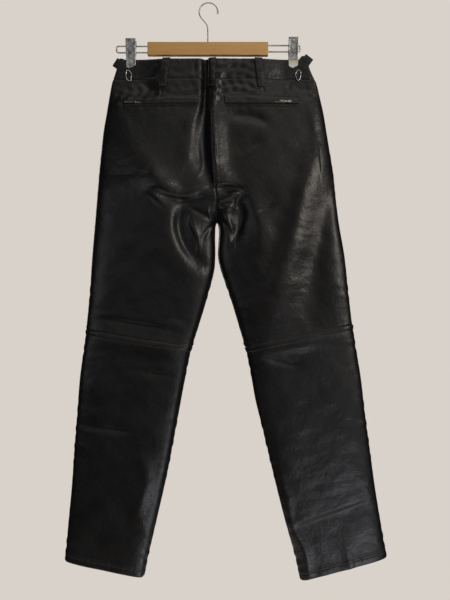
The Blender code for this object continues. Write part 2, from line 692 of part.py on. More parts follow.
def side_tab(leg, finish):
    """The cinch strap folded over the waist's corner."""
    way_x, way_z = SIDE_TABS[leg]["width_way"]
    rows = np.array(SIDE_TABS[leg]["rows"])
    middle, half = rows[:, :3], rows[:, 3]
    along = unit(np.gradient(middle, axis=0))
    width_way = np.array([way_x, 0, way_z])
    out = unit(np.cross(along, width_way))
    if (out[0] @ np.array([0, -1, 0])) < 0:
        out = -out
    steps = np.linspace(-1, 1, 4)
    centre = middle[:, None, :] + steps[None, :, None] * half[:, None, None] * width_way
    wall(f"side_tab_{leg}", centre + out[:, None, :] * TAB_THICK / 2, centre - out[:, None, :] * TAB_THICK / 2,
         finish)


def side_ring(leg, metal):
    points = []
    for x, z in SIDE_RINGS[leg]:
        points.append((x, -(seat(BACK, x, z, reach=2.5) + CLEAR + RING_WIRE), z))
    wire(f"side_ring_{leg}", points, RING_WIRE, metal, closed=True, resolution=1)


# Fly, tab and button at the front --------------------------------------------------------------------

WAIST_TAB = (-4.0, 36.0, -119.0, -157.0)
BUTTON_AT, BUTTON_RADIUS, BUTTON_THICK = (22.0, -138.0), 8.5, 3.0
PLACKET = (-38.0, 10.0, -161.0, -330.0)


def waistband_tab(finish):
    start, end, top, bottom = WAIST_TAB

    def place(s, t):
        rounding = 4.0 * eased((s - 0.8) / 0.2)
        low, high = bottom + rounding, top - rounding
        return start + (end - start) * s, high + (low - high) * t

    laid("waistband_tab", FRONT, 5, 7, place, LEATHER, finish)


def fly_placket(finish):
    """The strip that covers the fly, wearer's left over right, with a curved lower end."""
    start, end, top, bottom = PLACKET

    def place(s, t):
        low_start = start + 34 * eased((t - 0.72) / 0.28)
        low_end = end + 5 * t
        return low_start + (low_end - low_start) * s, top + (bottom - top) * t

    laid("fly_placket", FRONT, 16, 5, place, 1.2, finish)


def waistband_button(metal):
    """A round button with a rim, turned as a profile."""
    x, z = BUTTON_AT
    out = seat(FRONT, x, z, reach=6.0) + CLEAR + LEATHER + 0.5
    tidy = bmesh.new()
    profile = [(0, 2.2), (4.8, 2.2), (6.2, BUTTON_THICK), (7.8, BUTTON_THICK), (BUTTON_RADIUS, 2.0),
               (BUTTON_RADIUS - 0.7, 0.5), (4.0, 0), (0, 0)]
    corners = [tidy.verts.new((r * MM, 0, h * MM)) for r, h in profile]
    edges = [tidy.edges.new(pair) for pair in zip(corners, corners[1:])]
    bmesh.ops.spin(tidy, geom=corners + edges, cent=(0, 0, 0), axis=(0, 0, 1), angle=math.tau, steps=16)
    bmesh.ops.remove_doubles(tidy, verts=tidy.verts, dist=1e-6)
    bmesh.ops.recalc_face_normals(tidy, faces=tidy.faces)
    mesh = bpy.data.meshes.new("waistband_button")
    tidy.to_mesh(mesh)
    tidy.free()
    mesh.transform(Matrix.Translation(Vector((x, out, z)) * MM) @ Matrix.Rotation(-math.pi / 2, 4, "X"))
    add_object("waistband_button", mesh, metal)


# The hanger ------------------------------------------------------------------------------------------

BAR = (-125.9, 123.2, -81.5, -108.7, 12.0)
ROD_WIRE = 1.5
# End of the rods' bend, and their two heights
RODS = {"left": (-190.0, -89.0, -102.0), "right": (189.0, -87.2, -100.2)}
HOOK_WIRE, HOOK_RADIUS = 1.25, 19.25
YOKE = (15.0, -82.5, -107.0)


def jaw_out(top, height):
    """The inner face of a clip's jaw: it slopes in from its top to the cloth, and is then upright."""
    sloped = np.clip((top - height) / (top - CLIP_GRIP_TOP), 0, 1)
    return CLIP_TOP_HALF + (CLIP_GRIP + CLEAR - CLIP_TOP_HALF) * sloped


def clip_jaw(name, leg, face, finish, z_from, z_to, sheet, pointed):
    """A stamped plate from z_from down to z_to, with folded sides and a blunt pointed end."""
    start, end, top, _ = CLIPS[leg]
    middle, half = (start + end) / 2, (end - start) / 2
    heights = [z_from, z_from - 1.5]
    heights += [z for z in (-90.0, -104.0, CLIP_GRIP_TOP) if z_to + 2 < z < z_from - 2]
    heights += [z_to + 7, z_to]
    steps = (-1.0, -0.88, -0.4, 0.0, 0.4, 0.88, 1.0)
    inner = np.zeros((len(heights), len(steps), 3))
    for i, height in enumerate(heights):
        narrow = 1.0 - 0.02 * i
        for j, step in enumerate(steps):
            z = height
            if pointed and i == len(heights) - 1:
                z += 4.5 * abs(step - pointed) ** 1.2
            inner[i, j] = middle + half * step * narrow, face * jaw_out(top, height), z
    outer = inner + np.array([0, face * sheet, 0])
    outer[:, 0] += (0, -face * 0.4, 0)
    outer[:, -1] += (0, -face * 0.4, 0)
    wall(name, outer, inner, finish)


def clip(leg, metal, pad_finish):
    start, end, top, bottom = CLIPS[leg]
    middle = (start + end) / 2
    pad_top = -117.6
    if leg == "right":
        clip_jaw("clip_right_front_jaw", leg, BACK, metal, top, pad_top + 0.3, CLIP_SHEET, 0)
        clip_jaw("clip_right_pad", leg, BACK, pad_finish, pad_top, bottom, 2.2, -0.15)
    else:
        clip_jaw("clip_left_front_jaw", leg, BACK, metal, top, bottom, CLIP_SHEET, -0.45)
    clip_jaw(f"clip_{leg}_back_jaw", leg, FRONT, metal, top, bottom, CLIP_SHEET, -0.45)

    wide, z_top, z_bottom = YOKE
    yoke = box(f"clip_{leg}_yoke", (wide, 10, z_top - z_bottom), metal)
    mesh = yoke.data
    for vertex in mesh.vertices:
        height = z_top if vertex.co.z > 0 else z_bottom
        vertex.co.y = math.copysign((float(jaw_out(top, height)) - 0.3) * MM, vertex.co.y)
    mesh.transform(Matrix.Translation(Vector((middle, 0, (z_top + z_bottom) / 2)) * MM))
    for which, z in zip(("upper", "lower"), RODS[leg][1:]):
        hole = bmesh.new()
        bmesh.ops.create_cone(hole, cap_ends=True, segments=16, radius1=(ROD_WIRE + CLEAR) * MM,
                              radius2=(ROD_WIRE + CLEAR) * MM, depth=2 * wide * MM)
        hole_mesh = bpy.data.meshes.new("hole")
        hole.to_mesh(hole_mesh)
        hole.free()
        hole_mesh.transform(Matrix.Translation(Vector((middle, 0, z)) * MM) @ Matrix.Rotation(math.pi / 2, 4, "Y"))
        cutter = add_object(f"{which}_rod_hole_{leg}", hole_mesh, metal)
        as_guide(cutter)
        cut = yoke.modifiers.new(f"{which} rod", "BOOLEAN")
        cut.operation = "DIFFERENCE"
        cut.object = cutter


def hanger_bar(finish):
    start, end, top, bottom, thick = BAR
    bar = box("hanger_bar", (end - start, thick, top - bottom), finish, bevel=3.0, segments=3)
    bar.location = Vector(((start + end) / 2, 0, (top + bottom) / 2)) * MM


def hanger_rods(leg, metal):
    """Two parallel wires joined by a bend at their free end."""
    end, upper, lower = RODS[leg]
    start = BAR[0] - CLEAR if leg == "left" else BAR[1] + CLEAR
    sign = -1 if leg == "left" else 1
    bend = 3.5
    points = [(start, 0, upper)]
    for centre_z, first in ((upper - bend, math.pi / 2), (lower + bend, 0.0)):
        for a in np.linspace(first, first - math.pi / 2, 5):
            points.append((end - sign * bend + sign * bend * math.cos(a), 0, centre_z + bend * math.sin(a)))
    points.append((start, 0, lower))
    wire(f"hanger_rods_{leg}", points, ROD_WIRE, metal)


def hanger_hook(metal):
    """An open hook over a stem, with a small ball at its tip. Its inside top is the origin."""
    centre_z = -HOOK_RADIUS + HOOK_WIRE
    bend = [(HOOK_RADIUS * math.cos(a), 0, centre_z + HOOK_RADIUS * math.sin(a))
            for a in np.linspace(math.radians(-12), math.radians(212), 26)]
    (x0, _, z0), a0 = bend[-1], math.radians(212)
    x1, z1, pull = -2.0, -50.0, 22.0
    neck = []
    for t in np.linspace(0, 1, 9)[1:]:
        h00, h10 = 2 * t**3 - 3 * t**2 + 1, t**3 - 2 * t**2 + t
        h01, h11 = -2 * t**3 + 3 * t**2, t**3 - t**2
        neck.append((h00 * x0 - h10 * pull * math.sin(a0) + h01 * x1, 0,
                     h00 * z0 + h10 * pull * math.cos(a0) + h01 * z1 - h11 * pull))
    stem = [(-1.6, 0, -65.0), (-1.2, 0, BAR[2] + CLEAR)]
    points = bend + neck + stem
    swell = [1.0] * len(points)
    swell[:3] = 1.5, 1.8, 1.3
    wire("hanger_hook", points, HOOK_WIRE, metal, swell=swell)


# The object ----------------------------------------------------------------------------------------

for old in list(bpy.data.objects):
    bpy.data.objects.remove(old, do_unlink=True)

parts = bpy.data.collections.new("motorcycle_trousers_on_hanger")
guides = bpy.data.collections.new("guides")
bpy.context.scene.collection.children.link(parts)
bpy.context.scene.collection.children.link(guides)

leather = material("black_leather", (0.012, 0.011, 0.0105), 0.42)
zip_cloth = material("zip_tape", (0.01, 0.01, 0.01), 0.8)
zip_metal = material("zip_metal", (0.72, 0.70, 0.67), 0.28, 1.0)
chrome = material("chrome", (0.78, 0.78, 0.77), 0.14, 1.0)
wood = material("bare_wood", (0.60, 0.32, 0.11), 0.5)
pad_plastic = material("pad_plastic", (0.55, 0.47, 0.33), 0.5)

outer_grids = []
for leg in LEGS:
    knee, hem = KNEE[leg], HEM[leg]
    upper_rings = UPPER_RINGS[:-1] + (knee,)
    lower_rings = [knee + (hem - knee) * share for share in LOWER_RINGS]
    front_rings = FRONT_RINGS[:-1] + (knee,)
    lower_columns = np.linspace(0, 1, CALF_COLUMNS)
    outer_grids += [
        waistband(leg, leather),
        panel(f"back_upper_{leg}", leg, BACK, upper_rings, HIP_COLUMNS, leather),
        panel(f"back_lower_{leg}", leg, BACK, lower_rings, lower_columns, leather),
        panel(f"front_upper_{leg}", leg, FRONT, front_rings, FRONT_COLUMNS, leather),
        panel(f"front_lower_{leg}", leg, FRONT, lower_rings, lower_columns, leather),
    ]
cloth = surface_tree(outer_grids)

for row in BELT_LOOPS:
    belt_loop(*row, leather)
for leg in LEGS:
    pocket(leg, leather, zip_cloth)
    zip_slider(leg, zip_metal)
    zip_pull(leg, zip_metal)
    side_tab(leg, leather)
    side_ring(leg, chrome)
fly_placket(leather)
waistband_tab(leather)
waistband_button(zip_metal)

hanger_bar(wood)
hanger_hook(chrome)
for leg in LEGS:
    hanger_rods(leg, chrome)
    clip(leg, chrome, pad_plastic)
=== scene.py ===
# %% [markdown]
# # Leather motorcycle trousers on a clip hanger
#
# The trousers hang by the waist from two steel clips, and we look at their back. The real pair is cut
# from black cowhide: four leg pieces behind, four in front, a waistband in two halves, and small pieces
# sewn on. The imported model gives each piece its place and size. This lesson makes the surfaces.

# %% The frame
import math

import bpy
import numpy as np
from mathutils import Matrix, Vector
from mathutils.bvhtree import BVHTree


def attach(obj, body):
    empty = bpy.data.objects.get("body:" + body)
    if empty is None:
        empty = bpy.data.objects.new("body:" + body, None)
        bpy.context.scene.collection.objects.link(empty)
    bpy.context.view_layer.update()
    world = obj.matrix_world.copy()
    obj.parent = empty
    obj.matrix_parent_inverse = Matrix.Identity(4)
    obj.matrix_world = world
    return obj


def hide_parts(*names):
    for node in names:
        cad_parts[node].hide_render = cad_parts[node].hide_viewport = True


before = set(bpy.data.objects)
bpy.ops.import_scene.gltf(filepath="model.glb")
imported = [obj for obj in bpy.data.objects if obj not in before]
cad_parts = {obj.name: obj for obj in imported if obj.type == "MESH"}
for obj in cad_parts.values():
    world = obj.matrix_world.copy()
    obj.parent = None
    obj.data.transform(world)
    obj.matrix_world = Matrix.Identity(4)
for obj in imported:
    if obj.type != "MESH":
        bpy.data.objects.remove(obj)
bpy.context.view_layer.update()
MM = 0.001
BACK, FRONT = -1, 1
LEGS = ("left", "right")

# %% [markdown]
# ## The view
# The picture was taken straight on, at the height of the thighs, from about 1.35 m away.

# %% Camera
CAMERA_AWAY, CAMERA_ACROSS, CAMERA_HEIGHT = 1.35, 0.0342, -0.6138
PIXEL_AT_CLOTH = 0.00207
PICTURE_TALL = 600
SENSOR = 36.0


def put(name, data):
    """A new object in the scene."""
    made = bpy.data.objects.new(name, data)
    bpy.context.scene.collection.objects.link(made)
    return made


camera_data = bpy.data.cameras.new("camera")
camera_data.sensor_width = SENSOR
camera_data.lens = SENSOR * CAMERA_AWAY / (PICTURE_TALL * PIXEL_AT_CLOTH)
camera = put("camera", camera_data)
camera.location = (CAMERA_ACROSS, -CAMERA_AWAY, CAMERA_HEIGHT)
camera.rotation_euler = (math.pi / 2, 0, 0)
bpy.context.scene.camera = camera
bpy.context.scene.view_settings.view_transform = "Standard"
print(f"lens {camera_data.lens:.1f} mm")


# %% Colours and nodes
def linear(hex_colour):
    """A colour written as sRGB hex, such as "#d09b5a", in Blender's linear units."""
    parts = [int(hex_colour[i:i + 2], 16) / 255 for i in (1, 3, 5)]
    return [c / 12.92 if c <= 0.04045 else ((c + 0.055) / 1.055) ** 2.4 for c in parts] + [1.0]


def fill(tree, node, inputs):
    """Fills a node's sockets with values or with other nodes' outputs."""
    for socket, value in inputs.items():
        if isinstance(value, bpy.types.NodeSocket):
            tree.links.new(value, node.inputs[socket])
        else:
            node.inputs[socket].default_value = value


def add(tree, kind, inputs=None, **settings):
    """Adds a node, sets its fields and fills its sockets."""
    made = tree.nodes.new(kind)
    for field, value in settings.items():
        setattr(made, field, value)
    fill(tree, made, inputs or {})
    return made


def noise(tree, place, scale, detail, **more):
    sockets = {"Vector": place, "Scale": scale, "Detail": detail, **more}
    return add(tree, "ShaderNodeTexNoise", sockets).outputs["Fac"]


def ranged(tree, value, low, high, to_low=0.0, to_high=1.0, **settings):
    """A value taken from one range to another, and kept inside it."""
    sockets = {0: value, 1: low, 2: high, 3: to_low, 4: to_high}
    return add(tree, "ShaderNodeMapRange", sockets, **settings).outputs[0]


def mixed(tree, share, first, second):
    """A colour between two others, which are hex colours or nodes' outputs."""
    first, second = (linear(c) if isinstance(c, str) else c for c in (first, second))
    return add(tree, "ShaderNodeMix", {0: share, 6: first, 7: second}, data_type="RGBA").outputs[2]


def bump(tree, height, strength, distance, **more):
    sockets = {"Height": height, "Strength": strength, "Distance": distance, **more}
    return add(tree, "ShaderNodeBump", sockets).outputs[0]


def new_material(name, **shader_values):
    """A material, its tree, its Principled shader with some values set, and its Object coordinates."""
    made = bpy.data.materials.new(name)
    made.use_nodes = True
    tree = made.node_tree
    shader = tree.nodes["Principled BSDF"]
    fill(tree, shader, {socket.replace("_", " "): value for socket, value in shader_values.items()})
    return made, tree, shader, add(tree, "ShaderNodeTexCoord").outputs["Object"]


# %% [markdown]
# ## Light
# A window's soft light comes from the right, a little in front of the cloth, so the slopes that face
# right shine and the hollows stay black. A lower window lights the right calf, and a weaker lamp stands
# for the wall at the left. Black leather shows only what it reflects: the room is dim, with a glow
# towards the window, and the pale surround is what the camera sees behind the trousers.

# %% World and lamps
SURROUND = "#d9d2ca"
BRIGHT_WAY = Vector((0.47, -0.8, 0.44)).normalized()
# How nearly a ray has to run that way for the glow to start and to be full, and the strengths there
GLOW_REACH, GLOW_STRENGTH = (0.55, 0.98), (0.045, 0.44)

world = bpy.data.worlds.new("pale room")
world.use_nodes = True
bpy.context.scene.world = world
sky = world.node_tree
sky.nodes.clear()
seen = add(sky, "ShaderNodeBackground", {"Color": linear(SURROUND), "Strength": 1.0})
way = add(sky, "ShaderNodeTexCoord").outputs["Generated"]
facing = add(sky, "ShaderNodeVectorMath", {0: way, 1: BRIGHT_WAY}, operation="DOT_PRODUCT").outputs["Value"]
glow = ranged(sky, facing, *GLOW_REACH, *GLOW_STRENGTH, interpolation_type="SMOOTHSTEP")
room = add(sky, "ShaderNodeBackground", {"Color": linear("#e8e6e3"), "Strength": glow})
path = add(sky, "ShaderNodeLightPath").outputs["Is Camera Ray"]
both = add(sky, "ShaderNodeMixShader", {0: path, 1: room.outputs[0], 2: seen.outputs[0]})
add(sky, "ShaderNodeOutputWorld", {"Surface": both.outputs[0]})

MIDDLE = (0.03, 0.0, -0.55)
# name, place, target, width and height, watts, colour
LAMPS = (
    ("window", (1.62, -1.68, 0.1), MIDDLE, (0.6, 1.2), 14, "#fff6ea"),
    ("low window", (0.85, -1.5, -1.88), (0.25, 0, -1.15), (0.7, 0.5), 5, "#f4f4ff"),
    ("far wall", (-1.5, -1.7, -0.4), (-0.15, 0.0, -0.55), (1.0, 1.0), 2.6, "#f2f4ff"),
    ("ceiling", (0.1, -0.9, 1.2), MIDDLE, (1.4, 1.0), 3, "#fffaf2"),
    ("behind", (-0.6, 1.9, 0.2), MIDDLE, (1.8, 1.8), 14, "#fff8f0"),
)
for name, place, target, size, power, colour in LAMPS:
    data = bpy.data.lights.new(name, "AREA")
    data.shape = "RECTANGLE"
    data.size, data.size_y = size
    data.energy, data.color = power, linear(colour)[:3]
    lamp = put(name, data)
    lamp.location = place
    lamp.rotation_euler = (Vector(target) - Vector(place)).to_track_quat("-Z", "Y").to_euler()
print("lamps:", len(LAMPS))

# %% [markdown]
# ## The floor
# The hook hangs at about the height of a door, and a pale floor lies 2 m below it, under the picture.
# Its rim fades into the surround, so that no horizon shows.

# %% Floor
FLOOR_AT, FLOOR_RADIUS = (0, 0, -2.0), 1.5

bpy.ops.mesh.primitive_circle_add(vertices=96, radius=FLOOR_RADIUS, fill_type="NGON", location=FLOOR_AT)
floor = bpy.context.object
floor.name = "floor"
floor_paint, tree, shader, place = new_material("pale matt floor paint", Roughness=0.9, Emission_Strength=0.62)
away = add(tree, "ShaderNodeVectorMath", {0: place}, operation="LENGTH").outputs["Value"]
fade = ranged(tree, away, 0.5 * FLOOR_RADIUS, FLOOR_RADIUS, 1.0, 0.0, interpolation_type="SMOOTHSTEP")
fill(tree, shader, {"Base Color": linear("#cfc8c0"), "Emission Color": linear(SURROUND), "Alpha": fade})
floor.data.materials.append(floor_paint)

# %% [markdown]
# ## The trousers' shape
# Hung trousers are flat tubes. Each ring round a leg runs from the side seam over the back or the front
# to the seat seam or the inseam. A ring is a blunt ellipse: its width comes from the outline, and its
# depth from a short table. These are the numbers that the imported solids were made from, in millimetres,
# except that the rings below the crotch are blunter here.

# %% Tables of the outline
CROTCH, SEAT_TURN, SEAT_CURVE, WAIST_TOP, WAIST_SEAM = -452.0, -360.0, 1.35, -117.0, -159.0
KNEE = {"left": -709.0, "right": -710.0}
HEM = {"left": -1184.0, "right": -1189.0}
# height, how blunt the ring is: 2 is an ellipse
ROUNDNESS = ((-100, 2.3), (-180, 2.3), (-260, 3.2), (-480, 3.4), (-620, 4.2), (-1190, 4.2))

# height, across
SIDE_SEAM = {
    "left": (
        (-100, -183), (-117, -184), (-128, -187), (-138, -190), (-150, -194), (-162, -198), (-192, -204),
        (-229, -210), (-266, -216), (-303, -220), (-353, -225), (-403, -229), (-452, -233),
        (-523, -239), (-597, -244), (-697, -254), (-771, -264), (-846, -270), (-920, -276),
        (-995, -281), (-1069, -288), (-1144, -295),
    ),
    "right": (
        (-100, 200), (-117, 201), (-128, 205), (-138, 209), (-150, 215), (-162, 221), (-192, 229),
        (-229, 237), (-266, 243), (-303, 249), (-353, 257), (-403, 262), (-452, 268),
        (-523, 280), (-597, 288), (-650, 294), (-668, 296), (-697, 300), (-771, 312),
        (-846, 321), (-920, 331), (-995, 341), (-1069, 353), (-1142, 366),
    ),
}
SEAT_SEAM = ((-100, 4), (-158, 4), (-241, 7), (-293, 9), (-345, 12), (-407, 17), (-452, 18))
INSEAM = {
    "left": (
        (-452, 16.5), (-460, 13.5), (-474, 12.5), (-523, 12.5), (-548, 11), (-572, 6), (-597, -1),
        (-622, -8), (-672, -23.5), (-721, -38.5), (-771, -49), (-870, -67.5), (-970, -86.5),
        (-1069, -109), (-1152, -128), (-1186, -135),
    ),
    "right": (
        (-452, 19.5), (-462, 22), (-498, 22), (-523, 21), (-548, 26), (-572, 34), (-622, 51),
        (-672, 66), (-721, 80), (-771, 90), (-821, 99), (-870, 111), (-970, 135),
        (-1069, 160), (-1148, 182), (-1189, 191),
    ),
}
# height, how far the side seam's end of a ring lies above the inseam's
RING_RISE = {
    "left": ((-440, 0), (-452, 0), (-560, 13), (-709, 35), (-930, 34), (-1184, 34)),
    "right": ((-440, 0), (-452, 0), (-560, 18), (-710, 46), (-935, 46), (-1189, 47)),
}
# height, half the depth behind, half the depth in front
HALF_DEPTH = (
    (-100, 9, 8), (-117, 10, 8), (-159, 13, 11), (-200, 18, 14), (-290, 29, 21), (-370, 35, 25),
    (-452, 34, 25), (-560, 30, 23), (-709, 25, 20), (-930, 21, 17), (-1180, 18, 15),
)
# The clips' plates: across from, across to, top, bottom
CLIPS = {"left": (-170.6, -149.8, -75.5, -135.4), "right": (165.0, 185.3, -72.6, -134.6)}
# Half the thickness of the gripped waist, and how far the waist's corner rises past each clip
CLIP_GRIP = 1.9
CORNER_LIFT = {"left": 2.5, "right": 8.0}

# %% [markdown]
# ## Folds
# Leather folds where a body used to bend it, and where the clips pull it. A fold is a soft trough along
# a few points, with a depth and a width at each. A ridge has a depth below 0. The first table holds the
# largest folds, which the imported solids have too, though some are deeper, flatter or sharper here. Where a
# row gives two half widths, the first is for the side at the left hand of someone who walks along the fold.

# %% Large folds
# across, height, depth, half width or left and right half widths
LARGE_FOLDS = {
    BACK: {
        "centre groove": (
            (-6, -112, 8, 8, 7), (-6, -160, 11, 8, 7), (-7, -215, 12, 8, 8), (-9, -250, 11, 9, 14),
            (-10, -300, 10, 9, 19), (-7, -340, 8, 9, 18), (1, -368, 5, 7, 13), (8, -390, 0, 6, 8),
        ),
        "lip left of the groove": (
            (-20, -215, 0, 8, 8), (-28, -240, -1.5, 9, 14), (-38, -285, -2, 12, 20), (-42, -325, -2, 12, 22),
            (-50, -350, 0, 12, 20),
        ),
        "ridge at the seat seam": (
            (8, -165, 0, 16, 6), (9, -215, -4, 18, 7), (9, -290, -6, 22, 7), (12, -345, -6, 26, 6),
            (16, -374, -4, 26, 6), (18, -392, 0, 20, 6),
        ),
        "valley beside the ridge": (
            (46, -230, 0, 20, 12), (42, -290, 3, 26, 12), (50, -345, 3, 24, 14), (64, -372, 0, 20, 12),
        ),
        "left seat": ((-170, -270, 0, 30, 30), (-140, -325, -4, 34, 34), (-100, -374, -9, 36, 36)),
        "left under seat": (
            (-112, -388, 0, 6, 12), (-100, -396, 4, 6, 12), (-78, -407, 7, 6, 13), (-40, -411, 6, 6, 12),
            (-14, -410, 3, 6, 10), (2, -404, 0, 5, 8),
        ),
        "left inner thigh": (
            (-58, -412, 0, 14, 16), (-74, -428, -2.5, 15, 34), (-80, -450, -3, 15, 44), (-74, -490, -2.8, 14, 44),
            (-56, -535, -3, 14, 30), (-34, -562, -2.2, 12, 18), (-4, -568, 0, 10, 12),
        ),
        "left thigh hollow": (
            (-44, -414, 0, 20, 8), (-55, -428, 4, 26, 11), (-59, -450, 5, 34, 12), (-53, -488, 5, 34, 12),
            (-35, -522, 4.5, 26, 11), (-18, -541, 3.5, 18, 10), (2, -546, 0, 10, 8),
        ),
        "right under seat": ((12, -383, 0, 5, 8), (24, -387, 7, 5, 10), (48, -386, 7, 5, 10), (64, -389, 4, 5, 9),
                             (76, -394, 0, 5, 8)),
        "right cheek fold": ((20, -412, 0, 6, 6), (42, -405, -4, 7, 6), (64, -399, -5, 8, 6), (78, -399, 0, 7, 6)),
        "right thigh valley": (
            (66, -396, 0, 12, 6), (61, -412, 6, 16, 8), (60, -440, 9, 20, 15), (58, -470, 7, 22, 12),
            (54, -505, 0, 22, 8),
        ),
        "right thigh crest": (
            (84, -400, 0, 20, 12), (98, -440, -3, 22, 14), (110, -480, -4, 24, 16), (102, -536, -2, 24, 16),
            (96, -560, 0, 20, 14),
        ),
        "right facet": ((26, -430, 0, 8, 8), (34, -440, -3, 8, 10), (43, -462, -4, 7, 12), (54, -484, 0, 6, 10)),
        "right long crest": (
            (232, -290, 0, 30, 20), (216, -331, -5, 34, 22), (199, -381, -6, 38, 20), (184, -442, -6.5, 40, 18),
            (171, -493, -10, 40, 22), (156, -545, -10.5, 42, 26), (138, -614, -8.5, 44, 40), (132, -654, -3, 44, 50),
            (132, -696, 0, 40, 40),
        ),
        "right long valley": (
            (262, -340, 0, 12, 24), (246, -400, 6, 18, 36), (233, -442, 8, 20, 40), (224, -493, 9, 24, 42),
            (211, -550, 8.5, 28, 42), (206, -614, 5, 34, 40), (204, -654, 3, 36, 38), (202, -696, 0, 30, 30),
        ),
        "below the right pocket": ((24, -236, 0, 9), (98, -243, 4, 10), (122, -256, 0, 9)),
        "right hip": ((58, -318, 0, 16), (88, -296, 3, 14), (112, -286, 0, 12)),
        "left clip drag": ((-160, -140, 0, 7), (-128, -164, 4, 8), (-112, -190, 0, 8)),
        "right clip drag": ((180, -146, 0, 7), (166, -172, 4, 8), (160, -196, 0, 8)),
        "left above knee": (
            (-232, -648, 0, 6, 12), (-188, -656, 2.2, 6, 14), (-120, -668, 2.5, 6, 14), (-34, -684, 0, 6, 12),
        ),
        "left knee": ((-240, -692, 0, 12), (-140, -706, -4, 16), (-50, -722, 0, 12)),
        "right knee": ((288, -690, 0, 12), (200, -702, -4, 16), (96, -722, 0, 12)),
        "right below knee": ((98, -724, 0, 14, 5), (136, -739, 2.5, 14, 5), (194, -750, 0, 12, 5)),
        "left calf": ((-152, -756, 0, 5, 12), (-104, -764, 2, 5, 12), (-60, -768, 0, 5, 12)),
        "left shin": ((-268, -870, 0, 16, 6), (-206, -878, 2.2, 16, 6), (-146, -886, 0, 14, 6)),
        "left ankle": ((-150, -905, 0, 14), (-124, -966, -3, 14), (-142, -1058, -3, 14), (-124, -1096, 0, 12)),
        "right ankle": (
            (170, -1082, 0, 4, 44), (206, -1068, 2.6, 4, 48), (250, -1052, 3.6, 4, 48), (300, -1034, 3, 4, 44),
            (340, -1020, 0, 4, 34),
        ),
    },
    FRONT: {
        "centre groove": ((4, -112, 4, 10), (5, -200, 6, 11), (9, -320, 3, 12), (14, -400, 0, 12)),
        "left crotch": ((-10, -420, 0, 5, 14), (-70, -402, 3.5, 6, 18), (-130, -370, 0, 6, 16)),
        "right crotch": ((45, -420, 0, 14, 5), (105, -400, 4, 18, 6), (168, -366, 0, 16, 6)),
        "left thigh": ((0, -470, 0, 5, 14), (-70, -498, 2.5, 6, 22), (-130, -500, 0, 6, 16)),
        "right thigh": ((38, -470, 0, 14, 5), (112, -503, 3, 22, 6), (170, -510, 0, 16, 6)),
        "left knee bend": ((-232, -668, 0, 12, 6), (-140, -688, 3.5, 16, 6), (-50, -702, 0, 12, 6)),
        "right knee bend": ((286, -662, 0, 6, 12), (200, -688, 3, 6, 16), (90, -706, 0, 6, 12)),
        "left shin": ((-262, -900, 0, 14, 6), (-180, -928, 2, 18, 6), (-104, -930, 0, 14, 6)),
        "right shin": ((318, -900, 0, 6, 14), (230, -932, 2.2, 6, 18), (136, -936, 0, 6, 14)),
    },
}
